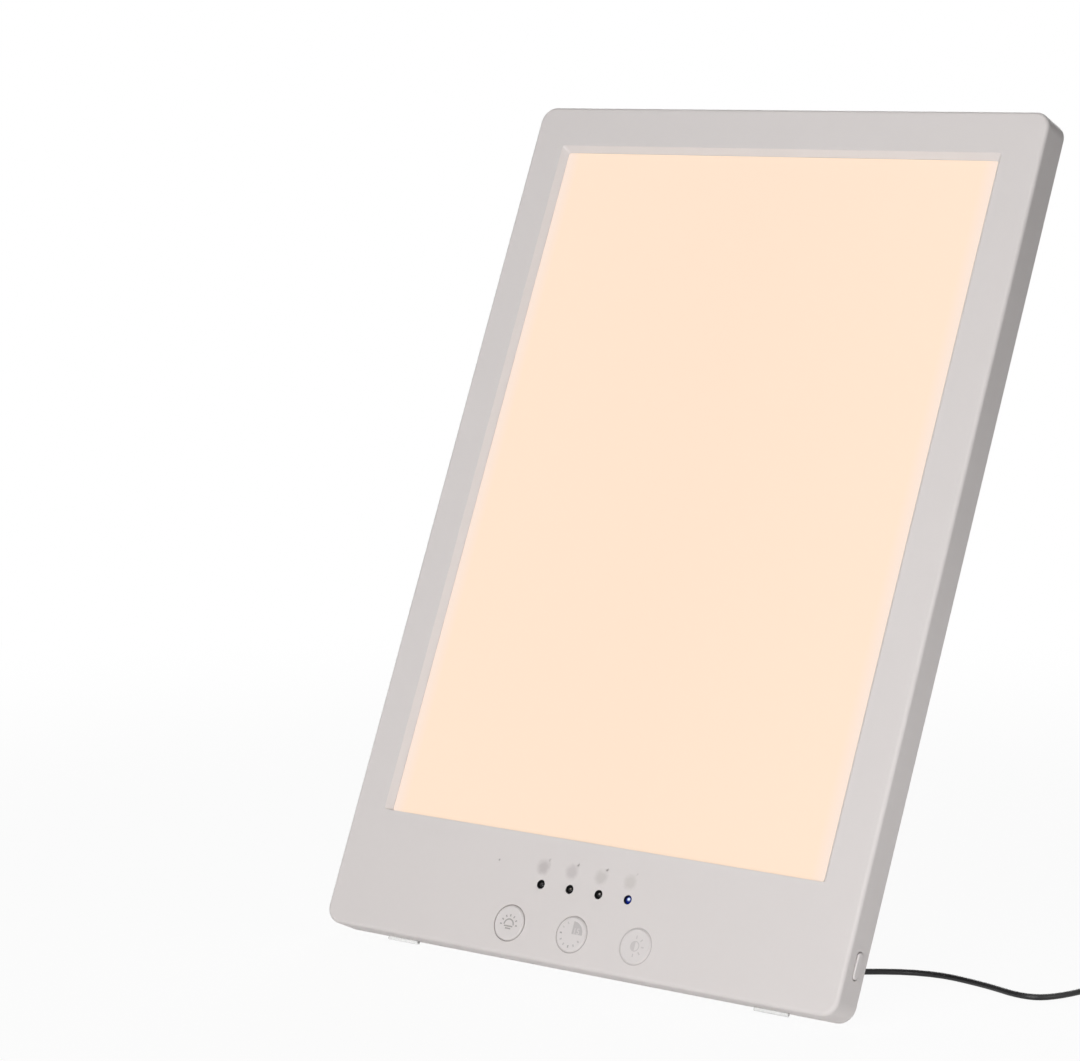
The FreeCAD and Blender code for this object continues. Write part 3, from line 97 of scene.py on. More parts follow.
# millimetres
leadToCoil = [
    (42, -41.42, 29.43),
    (42, -45, 21.4),
    (43.2, -48.3, 12.6),
    (48, -45.6, 5),
    (55.5, -37, 1.4),
    (61.5, -20, 1.2),
    (69.5, -4.5, 1.2),
    (94, 13.7, 1.2),
    (119, 10.7, 1.2),
    (136, 5, 1.2),
    (145, 9.2, 1.2),
    (151, 28.5, 1.4),
]
leadToAdapter = [(148.3, 49.5, 8.55), (149.2, 58.6, 8.8), (150.65, 64.5, 9.2), (150.65, 70, 9.5)]


# 0 before start, 1 after end
def eased(value, start, end):
    share = min(1, max(0, (value - start) / (end - start)))
    return share * share * (3 - 2 * share)


def coilPoints():
    inwards = list(lead["radii"])
    radii = inwards + inwards[::-1] + inwards + inwards[::-1] + [lead["outermost"]]
    points = []
    perTurn = lead["pointsPerTurn"]
    swell = 8 / (6 + 2 * math.cos(2 * math.pi / perTurn))  # the spline runs inside its points
    for i in range(len(radii[:-1]) * perTurn - 1):
        now, within = divmod(i, perTurn)
        layer, ring = divmod(now, len(inwards))
        degrees = 360 * within / perTurn
        radius = radii[now] + (radii[now + 1] - radii[now]) * eased(degrees, *lead["step"])
        up = lead["layers"][layer]
        if ring == len(inwards) - 1 and layer < len(lead["layers"]) - 1:
            up += (lead["layers"][layer + 1] - up) * eased(degrees, *lead["climb"])
        angle = math.pi - math.radians(degrees)  # clockwise, from the coil's left side
        across, back = lead["coilAt"]
        out = swell * radius
        points.append((across + out * math.cos(angle), back + out * math.sin(angle), up))
    return points


def makeLead():
    route = leadToCoil + coilPoints() + leadToAdapter
    data = bpy.data.curves.new("powerLead", "CURVE")
    data.dimensions = "3D"
    data.resolution_u = 5
    data.bevel_depth = 1  # each point's radius scales it
    data.bevel_resolution = 3
    data.use_fill_caps = True
    spline = data.splines.new("NURBS")
    spline.points.add(len(route) - 1)
    for point, place in zip(spline.points, route):
        point.co = (*(c * mm for c in place), 1)
        point.radius = lead["wide"] / 2
    spline.order_u = 3
    spline.use_endpoint_u = True
    made = bpy.data.objects.new("powerLead", data)
    scene.collection.objects.link(made)
    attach(made, "lamp")
    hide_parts("lead_run_plug", "lead_coil", "lead_run_adapter")
    return made


powerLead = makeLead()
print("lead")

studio = {
    "lamps": {
        "key": {"at": (0.36, -1.25, 0.15), "wide": 0.7, "power": 11.7},
        "top": {"at": (0.0, -0.9, 1.4), "wide": 1.2, "power": 5.8},
        "rear": {"at": (-0.8, 1.7, 0.7), "wide": 1.0, "power": 15.0},
        "low": {"at": (0.31, -0.04, 0.06), "wide": 0.14, "power": 0.1},
    },
    "aim": (0.0, 0.0, 0.12),
    "worldStrength": 0.05,
    "paper": (0.92, 0.92, 0.92, 1),
    "floorHalf": 6,
    "whiteNear": 0.94,  # how much of the floor's white shows without its shading, near the lamp
    "whiteFrom": 0.3,
    "whiteAll": 0.75,
}


def addNode(tree, kind, sockets=None, **settings):
    made = tree.nodes.new(kind)
    for name, value in settings.items():
        setattr(made, name, value)
    for name, value in (sockets or {}).items():
        if isinstance(value, bpy.types.NodeSocket):
            tree.links.new(value, made.inputs[name])
        else:
            made.inputs[name].default_value = value
    return made


def mathNode(tree, operation, first, second=0.0):
    return addNode(tree, "ShaderNodeMath", {0: first, 1: second}, operation=operation).outputs[0]


# value carried over from one range to another; limits holds the sockets that aren't 0 or 1
def ranged(tree, value, limits, smooth=False):
    kind = "SMOOTHSTEP" if smooth else "LINEAR"
    made = addNode(
        tree, "ShaderNodeMapRange", {"Value": value, **limits}, interpolation_type=kind
    )
    return made.outputs["Result"]


# 1 for what the camera sees, straight, in a gloss or through glass
def shownWhite(tree):
    path = addNode(tree, "ShaderNodeLightPath")
    share = path.outputs["Is Camera Ray"]
    for name in ("Is Glossy Ray", "Is Transmission Ray"):
        share = mathNode(tree, "MAXIMUM", share, path.outputs[name])
    return share


def makeWorld():
    world = bpy.data.worlds.new("studio")
    scene.world = world
    world.use_nodes = True
    tree = world.node_tree
    background = tree.nodes["Background"]
    background.inputs["Color"].default_value = (1, 1, 1, 1)
    strength = ranged(tree, shownWhite(tree), {"To Min": studio["worldStrength"]})
    tree.links.new(strength, background.inputs["Strength"])


def makeLamp(name, settings):
    data = bpy.data.lights.new(name, "AREA")
    data.shape = "DISK"
    data.size = settings["wide"]
    data.energy = settings["power"]
    lamp = bpy.data.objects.new(name, data)
    lamp.location = settings["at"]
    aim = Vector(studio["aim"]) - Vector(settings["at"])
    lamp.rotation_euler = aim.to_track_quat("-Z", "Y").to_euler()
    lamp.visible_camera = False
    scene.collection.objects.link(lamp)


def makeFloor():
    mesh = bpy.data.meshes.new("floor")
    half = studio["floorHalf"]
    corners = [(-half, -half, 0), (half, -half, 0), (half, half, 0), (-half, half, 0)]
    mesh.from_pydata(corners, [], [(0, 1, 2, 3)])
    floor = bpy.data.objects.new("floor", mesh)
    scene.collection.objects.link(floor)
    paper = bpy.data.materials.new("paper")
    paper.use_nodes = True
    tree = paper.node_tree
    shader = tree.nodes["Principled BSDF"]
    shader.inputs["Base Color"].default_value = studio["paper"]
    shader.inputs["Roughness"].default_value = 0.9
    shader.inputs["Specular IOR Level"].default_value = 0.1
    white = addNode(tree, "ShaderNodeEmission", {"Color": (1, 1, 1, 1), "Strength": 1.0})
    where = addNode(tree, "ShaderNodeTexCoord").outputs["Object"]
    away = addNode(tree, "ShaderNodeVectorMath", {0: where}, operation="LENGTH")
    limits = {
        "From Min": studio["whiteFrom"],
        "From Max": studio["whiteAll"],
        "To Min": studio["whiteNear"],
    }
    whiteness = ranged(tree, away.outputs["Value"], limits, smooth=True)
    share = mathNode(tree, "MULTIPLY", shownWhite(tree), whiteness)
    mixed = addNode(
        tree, "ShaderNodeMixShader", {0: share, 1: shader.outputs[0], 2: white.outputs[0]}
    )
    tree.links.new(mixed.outputs[0], tree.nodes["Material Output"].inputs["Surface"])
    mesh.materials.append(paper)


makeWorld()
for lampName, lampSettings in studio["lamps"].items():
    makeLamp(lampName, lampSettings)
makeFloor()
scene.view_settings.view_transform = "Standard"
print("studio")

finishes = {
    "framePlastic": {
        "colour": (0.785, 0.742, 0.73),
        "mottle": 0.012,
        "rough": 0.52,
        "grain": 4200,
        "depth": 0.012 * mm,
        "edge": 0.25 * mm,
    },
    "keyPlastic": {
        "colour": (0.785, 0.745, 0.737),
        "mottle": 0.01,
        "rough": 0.48,
        "grain": 5200,
        "depth": 0.008 * mm,
        "edge": 0.15 * mm,
    },
    "blackPlastic": {
        "colour": (0.014, 0.014, 0.015),
        "mottle": 0.15,
        "rough": 0.42,
        "grain": 3800,
        "depth": 0.02 * mm,
        "edge": 0.2 * mm,
    },
    "greyPlastic": {
        "colour": (0.42, 0.42, 0.41),
        "mottle": 0.03,
        "rough": 0.4,
        "grain": 4500,
        "depth": 0.01 * mm,
        "edge": 0.1 * mm,
    },
    "footRubber": {
        "colour": (0.022, 0.022, 0.023),
        "mottle": 0.2,
        "rough": 0.82,
        "grain": 2600,
        "depth": 0.04 * mm,
        "edge": 0.25 * mm,
    },
    "cordJacket": {
        "colour": (0.009, 0.009, 0.010),
        "mottle": 0.2,
        "rough": 0.38,
        "grain": 1800,
        "depth": 0.012 * mm,
        "edge": 0,
    },
    "tieNylon": {
        "colour": (0.02, 0.02, 0.021),
        "mottle": 0.3,
        "rough": 0.9,
        "grain": 1500,
        "depth": 0.12 * mm,
        "edge": 0,
    },
    "reflectorFilm": {
        "colour": (0.9, 0.9, 0.89),
        "mottle": 0.01,
        "rough": 0.6,
        "grain": 900,
        "depth": 0.004 * mm,
        "edge": 0,
    },
    "boardWhite": {
        "colour": (0.8, 0.8, 0.78),
        "mottle": 0.02,
        "rough": 0.35,
        "grain": 1500,
        "depth": 0.01 * mm,
        "edge": 0,
    },
}


def newMaterial(name):
    made = bpy.data.materials.new(name)
    made.use_nodes = True
    return made, made.node_tree, made.node_tree.nodes["Principled BSDF"]


def objectNoise(tree, scale, detail=2.0):
    where = addNode(tree, "ShaderNodeTexCoord").outputs["Object"]
    noise = addNode(
        tree, "ShaderNodeTexNoise", {"Vector": where, "Scale": scale, "Detail": detail}
    )
    return noise.outputs["Fac"]


def shaded(colour, share):
    return (*(min(1, c * share) for c in colour), 1)


# a colour from low to high as share goes from 0 to 1
def between(tree, share, low, high):
    mix = addNode(tree, "ShaderNodeMix", data_type="RGBA")
    tree.links.new(share, mix.inputs["Factor"])
    mix.inputs[6].default_value = low
    mix.inputs[7].default_value = high
    return mix.outputs[2]


def paint(tree, shader, share, low, high):
    tree.links.new(between(tree, share, low, high), shader.inputs["Base Color"])


# even colour with a faint mottle, a fine eroded grain and softened edges
def mouldedPlastic(name):
    settings = finishes[name]
    made, tree, shader = newMaterial(name)
    broad = objectNoise(tree, 28, 4)
    low, high = (shaded(settings["colour"], 1 + k * settings["mottle"]) for k in (-1, 1))
    paint(tree, shader, broad, low, high)
    fine = objectNoise(tree, settings["grain"], 1)
    limits = {"To Min": settings["rough"] - 0.06, "To Max": settings["rough"] + 0.06}
    tree.links.new(ranged(tree, fine, limits), shader.inputs["Roughness"])
    bump = addNode(
        tree, "ShaderNodeBump", {"Height": fine, "Strength": 0.6, "Distance": settings["depth"]}
    )
    if settings["edge"]:
        soft = addNode(tree, "ShaderNodeBevel", {"Radius": settings["edge"]}, samples=4)
        tree.links.new(soft.outputs["Normal"], bump.inputs["Normal"])
    tree.links.new(bump.outputs["Normal"], shader.inputs["Normal"])
    shader.inputs["Specular IOR Level"].default_value = 0.4
    return made


# object coordinates turned so that x is across, y inwards and z up the panel
def onPanelCoordinates(tree):
    where = addNode(tree, "ShaderNodeTexCoord").outputs["Object"]
    mapping = addNode(tree, "ShaderNodeMapping", {"Vector": where}, vector_type="POINT")
    back = onPanel.inverted()
    mapping.inputs["Location"].default_value = back.to_translation()
    mapping.inputs["Rotation"].default_value = back.to_euler()
    return mapping.outputs["Vector"]


glow = {
    "colour": (1.0, 0.78, 0.602),
    "rim": (0.95, 0.785, 0.68),
    "strength": 0.86,
    "fade": 0.985,  # in the middle, beside the lit edges' 1
    "half": 95 * mm,
    "aside": -0.9 * mm,  # from the panel's middle to the window's
    "rimFrom": 0.925,  # shares of the half width
    "rimTo": 0.975,
}


# opal acrylic that glows a little more towards its two lit edges and pales at the rim
def diffuserGlow():
    made, tree, shader = newMaterial("diffuserGlow")
    split = addNode(tree, "ShaderNodeSeparateXYZ", {0: onPanelCoordinates(tree)})
    far = mathNode(tree, "ABSOLUTE", mathNode(tree, "SUBTRACT", split.outputs["X"], glow["aside"]))
    share = ranged(tree, far, {"From Max": glow["half"]})
    stops = addNode(tree, "ShaderNodeValToRGB", {0: share})
    ramp = stops.color_ramp.elements
    ramp[0].color = shaded(glow["colour"], glow["fade"])
    ramp[1].color = shaded(glow["rim"], 1)
    ramp[1].position = glow["rimTo"]
    ramp.new(glow["rimFrom"]).color = shaded(glow["colour"], 1)
    tree.links.new(stops.outputs["Color"], shader.inputs["Emission Color"])
    shader.inputs["Emission Strength"].default_value = glow["strength"]
    shader.inputs["Base Color"].default_value = (0.16, 0.13, 0.11, 1)
    shader.inputs["Roughness"].default_value = 0.45
    shader.inputs["Specular IOR Level"].default_value = 0.25
    return made


# clear acrylic with a field of small printed dots
def guideAcrylic():
    made, tree, shader = newMaterial("guideAcrylic")
    dots = addNode(
        tree,
        "ShaderNodeTexVoronoi",
        {"Vector": onPanelCoordinates(tree), "Scale": 600, "Randomness": 0.15},
    )
    share = ranged(tree, dots.outputs["Distance"], {"From Min": 0.3, "From Max": 0.36})
    paint(tree, shader, share, (0.95, 0.95, 0.94, 1), (0.78, 0.84, 0.84, 1))
    shader.inputs["Transmission Weight"].default_value = 0.75
    shader.inputs["IOR"].default_value = 1.49
    shader.inputs["Roughness"].default_value = 0.06
    return made


# green solder mask over paler tracks
def boardGreen():
    made, tree, shader = newMaterial("boardGreen")
    tracks = addNode(
        tree,
        "ShaderNodeTexBrick",
        {
            "Vector": onPanelCoordinates(tree),
            "Scale": 260,
            "Color1": (0.012, 0.105, 0.045, 1),
            "Color2": (0.014, 0.125, 0.052, 1),
            "Mortar": (0.03, 0.19, 0.085, 1),
            "Mortar Size": 0.03,
        },
    )
    tree.links.new(tracks.outputs["Color"], shader.inputs["Base Color"])
    bump = addNode(
        tree,
        "ShaderNodeBump",
        {"Height": tracks.outputs["Fac"], "Strength": 0.5, "Distance": 0.03 * mm},
    )
    tree.links.new(bump.outputs["Normal"], shader.inputs["Normal"])
    shader.inputs["Roughness"].default_value = 0.3
    return made


# white film with fine silver conductors
def flexFilm():
    made, tree, shader = newMaterial("flexFilm")
    lines = addNode(
        tree,
        "ShaderNodeTexWave",
        {"Vector": onPanelCoordinates(tree), "Scale": 320},
        bands_direction="Y",
    )
    share = ranged(tree, lines.outputs["Fac"], {"From Min": 0.55, "From Max": 0.7})
    paint(tree, shader, share, (0.82, 0.82, 0.8, 1), (0.5, 0.5, 0.52, 1))
    shader.inputs["Roughness"].default_value = 0.35
    return made


# plated metal with fine drawn lines and faint stains
def metal(name, colour, rough, stretch):
    made, tree, shader = newMaterial(name)
    where = addNode(tree, "ShaderNodeTexCoord").outputs["Object"]
    mapping = addNode(tree, "ShaderNodeMapping", {"Vector": where, "Scale": stretch})
    lines = addNode(
        tree,
        "ShaderNodeTexNoise",
        {"Vector": mapping.outputs["Vector"], "Scale": 1.0, "Detail": 3},
    ).outputs["Fac"]
    limits = {"To Min": rough - 0.08, "To Max": rough + 0.1}
    tree.links.new(ranged(tree, lines, limits), shader.inputs["Roughness"])
    stain = objectNoise(tree, 300, 3)
    paint(tree, shader, stain, shaded(colour, 0.9), shaded(colour, 1.05))
    shader.inputs["Metallic"].default_value = 1
    return made


# how far the shaded point is from one on the panel
def distanceFrom(tree, centre):
    where = {0: onPanelCoordinates(tree), 1: centre}
    away = addNode(tree, "ShaderNodeVectorMath", where, operation="DISTANCE")
    return away.outputs["Value"]


# a small lamp's lens: a dark clear shell that glows from a bright spot out to the shell's colour;
# on an unlit lens the spot is a painted highlight, on the lit one it is the chip's light with a
# painted white highlight
def lens(name, centre, shell, spot, spotSize):
    made, tree, shader = newMaterial(name)
    limits = {"From Min": spotSize[0], "From Max": spotSize[1]}
    share = ranged(tree, distanceFrom(tree, centre), limits, smooth=True)
    shader.inputs["Base Color"].default_value = shell
    tree.links.new(between(tree, share, spot, shell), shader.inputs["Emission Color"])
    shader.inputs["Emission Strength"].default_value = 1.0
    shader.inputs["Roughness"].default_value = 0.12
    shader.inputs["Specular IOR Level"].default_value = 0.18
    return made


# clear silicone, clouded a little
def siliconePad():
    made, tree, shader = newMaterial("siliconePad")
    cloud = objectNoise(tree, 900, 3)
    paint(tree, shader, cloud, (0.88, 0.88, 0.87, 1), (0.94, 0.94, 0.93, 1))
    shader.inputs["Transmission Weight"].default_value = 0.9
    shader.inputs["IOR"].default_value = 1.41
    shader.inputs["Roughness"].default_value = 0.2
    return made


def phosphor():
    made, tree, shader = newMaterial("phosphor")
    speck = objectNoise(tree, 6000, 1)
    paint(tree, shader, speck, (0.9, 0.68, 0.2, 1), (0.98, 0.82, 0.36, 1))
    shader.inputs["Emission Color"].default_value = (1.0, 0.86, 0.62, 1)
    shader.inputs["Emission Strength"].default_value = 1.0
    shader.inputs["Roughness"].default_value = 0.25
    return made


def ink(name, colour):
    made, tree, shader = newMaterial(name)
    speck = objectNoise(tree, 3000, 2)
    paint(tree, shader, speck, shaded(colour, 0.96), shaded(colour, 1.04))
    shader.inputs["Roughness"].default_value = 0.55
    return made


# a faint print that fades into the plastic round it
def fadedMark(name, colour, centre):
    made, tree, shader = newMaterial(name)
    away = distanceFrom(tree, centre)
    wander = {"To Min": -indicators["ragged"], "To Max": indicators["ragged"]}
    ragged = mathNode(tree, "ADD", away, ranged(tree, objectNoise(tree, 620, 2), wander))
    fade = {"From Min": indicators["fadeFrom"], "From Max": indicators["fadeTo"]}
    share = ranged(tree, ragged, fade, smooth=True)
    around = shaded(finishes["framePlastic"]["colour"], 1)
    paint(tree, shader, share, shaded(colour, 1), around)
    shader.inputs["Roughness"].default_value = finishes["framePlastic"]["rough"]
    return made


inks = {
    "inkTemperature": (0.42, 0.39, 0.38),
    "inkTimerDark": (0.46, 0.435, 0.43),
    "inkTimer": (0.58, 0.55, 0.545),
    "inkTimerPale": (0.66, 0.63, 0.62),
    "inkBrightness": (0.64, 0.605, 0.60),
    "inkPale": (0.76, 0.72, 0.715),
    "inkMark": (0.68, 0.64, 0.63),
    # the next three colours are painted shade for the gaps round the keys: darkest round the
    # temperature key, palest round the brightness key
    "temperatureSeal": (0.40, 0.36, 0.355),
    "timerSeal": (0.50, 0.46, 0.455),
    "brightnessSeal": (0.60, 0.56, 0.555),
    "sensorWindow": (0.50, 0.47, 0.46),
}
indicators = {
    "count": 4,
    "pitch": 12.59 * mm,
    "up": 26.6 * mm,
    "aside": -0.12 * mm,  # from the panel's middle to the row's
    # where the bright spot on each indicator lens sits, up and to the right of its middle: a
    # painted highlight, and on the lit lens the chip's light as well
    "spotDepth": 0.35 * mm,
    "highlightAside": 0.25 * mm,
    "sleeve": {"inner": 1.53 * mm, "outer": 1.64 * mm, "deep": 0.1 * mm, "thick": 1.5 * mm},
    "print": 0.02 * mm,
    "sink": 0.01 * mm,  # how far a print reaches into the face
    "markUp": 32.65 * mm,
    "markAside": -0.85 * mm,
    "markRadius": 3.8 * mm,
    "fadeFrom": 1.1 * mm,
    "fadeTo": 3.6 * mm,
    "ragged": 0.7 * mm,
    "markShades": [
        (0.6, 0.555, 0.55),
        (0.64, 0.595, 0.59),
        (0.66, 0.62, 0.605),
        (0.68, 0.64, 0.62),
    ],
    "tick": {"reach": (3.0 * mm, 4.2 * mm), "thick": 0.5 * mm, "turn": 55},
    "sensor": {
        "across": -39.45 * mm,
        "up": 32.7 * mm,
        "radius": 0.37 * mm,
        "deep": 0.12 * mm,
        "thick": 0.3 * mm,
    },
}


# how far an indicator's middle is from the panel's
def indicatorAcross(number, aside="aside"):
    steps = number - (indicators["count"] - 1) / 2
    return steps * indicators["pitch"] + indicators[aside]


materials = {name: mouldedPlastic(name) for name in finishes}
materials |= {name: ink(name, colour) for name, colour in inks.items()}
for k, shade in enumerate(indicators["markShades"]):
    middle = (indicatorAcross(k, "markAside"), 0, indicators["markUp"])
    materials[f"mark{k + 1}"] = fadedMark(f"mark{k + 1}", shade, middle)
materials["diffuserGlow"] = diffuserGlow()
materials["siliconePad"] = siliconePad()
materials["guideAcrylic"] = guideAcrylic()
materials["boardGreen"] = boardGreen()
materials["flexFilm"] = flexFilm()
materials["phosphor"] = phosphor()
materials["zincSteel"] = metal("zincSteel", (0.62, 0.62, 0.60), 0.32, (900, 3000, 900))
materials["canAluminium"] = metal("canAluminium", (0.78, 0.78, 0.79), 0.3, (2500, 400, 2500))
materials["nickelPlate"] = metal("nickelPlate", (0.70, 0.68, 0.62), 0.22, (800, 2500, 2500))
darkShell = (0.004, 0.004, 0.004, 1)
# painted highlights that glow on the three unlit lenses, brighter from the first to the third
darkHighlights = ((0.06, 0.05, 0.05, 1), (0.25, 0.205, 0.175, 1), (0.5, 0.45, 0.43, 1))
darkHighlightSize = (0.1 * mm, 0.5 * mm)
# the lit lens: a blue glow with a white spot that is its chip's light and a painted highlight
blueShell, blueChipAndHighlight = (0.001, 0.008, 0.105, 1), (0.75, 0.88, 1.0, 1)
blueSpotSize = (0.2 * mm, 0.8 * mm)


# where the bright spot shows on an indicator's lens, set off its middle: a painted highlight, and
# on the lit lens the chip's light too
def spotAt(number):
    aside = indicators["highlightAside"]
    return (indicatorAcross(number) + aside, indicators["spotDepth"], indicators["up"] + aside)


for k, spot in enumerate(darkHighlights):
    name = f"lensDark{k + 1}"
    materials[name] = lens(name, spotAt(k), darkShell, spot, darkHighlightSize)
materials["lensBlue"] = lens("lensBlue", spotAt(len(darkHighlights)), blueShell, blueChipAndHighlight, blueSpotSize)


def circle(radius, steps, across=0.0, up=0.0):
    return [
        (
            across + radius * math.cos(2 * math.pi * k / steps),
            up + radius * math.sin(2 * math.pi * k / steps),
        )
        for k in range(steps)
    ]


# a wide arc's outline, or a slice's where inner is 0
def arcBand(inner, outer, start, end, steps, across=0.0, up=0.0):
    angles = [math.radians(start + (end - start) * k / steps) for k in range(steps + 1)]
    outline = [(across + outer * math.cos(a), up + outer * math.sin(a)) for a in angles]
    if inner:
        outline += [(across + inner * math.cos(a), up + inner * math.sin(a)) for a in angles[::-1]]
    else:
        outline.append((across, up))
    return outline


# a straight mark that lies along a ray from (across, up)
def rayBar(inner, outer, thick, degrees, across=0.0, up=0.0):
    along = Vector((math.cos(math.radians(degrees)), math.sin(math.radians(degrees))))
    aside = Vector((-along.y, along.x)) * thick / 2
    middle = Vector((across, up))
    corners = (
        middle + along * inner - aside,
        middle + along * outer - aside,
        middle + along * outer + aside,
        middle + along * inner + aside,
    )
    return [tuple(corner) for corner in corners]


def roundedRectangle(wide, tall, corner, steps):
    outline = []
    for k, (sideX, sideY) in enumerate(((1, 1), (-1, 1), (-1, -1), (1, -1))):
        for i in range(steps + 1):
            angle = quarter * (k + i / steps)
            outline.append(
                (
                    sideX * (wide / 2 - corner) + corner * math.cos(angle),
                    sideY * (tall / 2 - corner) + corner * math.sin(angle),
                )
            )
    return outline


# a closed solid through outlines of equal length, from (outline, height) pairs
def loft(shape, levels, finish=0):
    rings = [[shape.verts.new((x, y, high)) for x, y in outline] for outline, high in levels]
    faces = [shape.faces.new(rings[0][::-1]), shape.faces.new(rings[-1])]
    for low, high in zip(rings, rings[1:]):
        for k in range(len(low)):
            n = (k + 1) % len(low)
            faces.append(shape.faces.new((low[k], low[n], high[n], high[k])))
    for face in faces:
        face.material_index = finish


def flat(shape, outline, low, high, finish=0):
    loft(shape, [(outline, low), (outline, high)], finish)


# a closed band between two outlines of equal length
def band(shape, outer, inner, low, high):
    rings = [
        [shape.verts.new((x, y, level)) for x, y in outline]
        for outline, level in ((outer, low), (outer, high), (inner, high), (inner, low))
    ]
    for ring, following in zip(rings, rings[1:] + rings[:1]):
        for k in range(len(ring)):
            n = (k + 1) % len(ring)
            shape.faces.new((ring[k], ring[n], following[n], following[k]))


# a profile of (radius, height) turned about z; it starts and ends on the axis
def lathe(shape, profile, steps):
    rings = []
    for radius, high in profile:
        if radius:
            rings.append([shape.verts.new((x, y, high)) for x, y in circle(radius, steps)])
        else:
            rings.append([shape.verts.new((0, 0, high))] * steps)
    for low, high in zip(rings, rings[1:]):
        for k in range(steps):
            n = (k + 1) % steps
            corners = dict.fromkeys((low[k], low[n], high[n], high[k]))
            shape.faces.new(tuple(corners))


def meshOf(shape, name, place=None):
    bmesh.ops.remove_doubles(shape, verts=shape.verts, dist=1e-7)
    bmesh.ops.recalc_face_normals(shape, faces=shape.faces)
    mesh = bpy.data.meshes.new(name)
    shape.to_mesh(mesh)
    shape.free()
    if place:
        mesh.transform(place)
    return mesh


def smoothed(mesh, degrees):
    mesh.polygons.foreach_set("use_smooth", [True] * len(mesh.polygons))
    shape = bmesh.new()
    shape.from_mesh(mesh)
    for edge in shape.edges:
        edge.smooth = edge.is_manifold and edge.calc_face_angle() < math.radians(degrees)
    shape.to_mesh(mesh)
    shape.free()
    return mesh


def addPiece(name, mesh, body, finish=(), standsFor=()):
    made = bpy.data.objects.new(name, mesh)
    scene.collection.objects.link(made)
    for each in finish:
        mesh.materials.append(materials[each])
    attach(made, body)
    if standsFor:
        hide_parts(*standsFor)
    return made


socketKinds = {
    int: "NodeSocketInt",
    float: "NodeSocketFloat",
    bpy.types.Material: "NodeSocketMaterial",
    bpy.types.Object: "NodeSocketObject",
}


# a tree with one named input for each of its values
def newTree(name, values, onPoints=False):
    tree = bpy.data.node_groups.new(name, "GeometryNodeTree")
    tree.interface.new_socket("Result", in_out="OUTPUT", socket_type="NodeSocketGeometry")
    if onPoints:
        tree.interface.new_socket("Points", in_out="INPUT", socket_type="NodeSocketGeometry")
    for label, value in values.items():
        kind = socketKinds[type(value)]
        tree.interface.new_socket(label, in_out="INPUT", socket_type=kind)
    return tree, tree.nodes.new("NodeGroupInput").outputs, tree.nodes.new("NodeGroupOutput")


# real geometry with its finish at the end of every tree
def endTree(tree, end, geometry, finish):
    real = addNode(tree, "GeometryNodeRealizeInstances", {0: geometry})
    coloured = addNode(
        tree, "GeometryNodeSetMaterial", {"Geometry": real.outputs[0], "Material": finish}
    )
    tree.links.new(coloured.outputs[0], end.inputs[0])


# what the tree makes of its values, as a plain mesh
def grown(tree, values, place, points=()):
    start = bpy.data.meshes.new(tree.name)
    start.from_pydata(list(points), [], [])
    holder = bpy.data.objects.new(tree.name, start)
    scene.collection.objects.link(holder)
    modifier = holder.modifiers.new(tree.name, "NODES")
    modifier.node_group = tree
    for socket in tree.interface.items_tree:
        if socket.in_out == "INPUT" and socket.name in values:
            modifier[socket.identifier] = values[socket.name]
    ready = holder.evaluated_get(bpy.context.evaluated_depsgraph_get())
    mesh = bpy.data.meshes.new_from_object(ready)
    holder.modifiers.remove(modifier)
    bpy.data.objects.remove(holder)
    mesh.transform(place)
    return mesh


# a straight rib along x, full over its length and rounded off at its ends
def ribNodes(tree, long, thick):
    half = mathNode(tree, "MULTIPLY", long, 0.5)
    ends = [
        addNode(tree, "ShaderNodeCombineXYZ", {"X": mathNode(tree, "MULTIPLY", half, side)})
        for side in (-1.0, 1.0)
    ]
    line = addNode(
        tree,
        "GeometryNodeCurvePrimitiveLine",
        {"Start": ends[0].outputs[0], "End": ends[1].outputs[0]},
    )
    steps = addNode(tree, "GeometryNodeResampleCurve", {"Curve": line.outputs[0], "Count": 15})
    share = addNode(tree, "GeometryNodeSplineParameter").outputs["Factor"]
    signed = mathNode(tree, "SUBTRACT", mathNode(tree, "MULTIPLY", share, 2.0), 1.0)
    drop = mathNode(tree, "POWER", mathNode(tree, "ABSOLUTE", signed), 12.0)
    radius = mathNode(tree, "SQRT", mathNode(tree, "SUBTRACT", 1.02, drop))
    shrunk = addNode(
        tree, "GeometryNodeSetCurveRadius", {"Curve": steps.outputs[0], "Radius": radius}
    )
    section = addNode(
        tree,
        "GeometryNodeCurvePrimitiveCircle",
        {"Resolution": 10, "Radius": mathNode(tree, "MULTIPLY", thick, 0.5)},
    )
    made = addNode(
        tree,
        "GeometryNodeCurveToMesh",
        {"Curve": shrunk.outputs[0], "Profile Curve": section.outputs[0], "Fill Caps": True},
    )
    smooth = addNode(tree, "GeometryNodeSetShadeSmooth", {"Geometry": made.outputs[0]})
    return smooth.outputs[0]


# ribs side by side, each along x, a pitch apart in y
def ribRow(values):
    tree, given, end = newTree("ribRow", values)
    across = addNode(tree, "ShaderNodeCombineXYZ", {"Y": given["Pitch"]})
    places = addNode(
        tree, "GeometryNodeMeshLine", {"Count": given["Ribs"], "Offset": across.outputs[0]}
    )
    ribs = addNode(
        tree,
        "GeometryNodeInstanceOnPoints",
        {"Points": places.outputs[0], "Instance": ribNodes(tree, given["Long"], given["Thick"])},
    )
    endTree(tree, end, ribs.outputs[0], given["Finish"])
    return tree


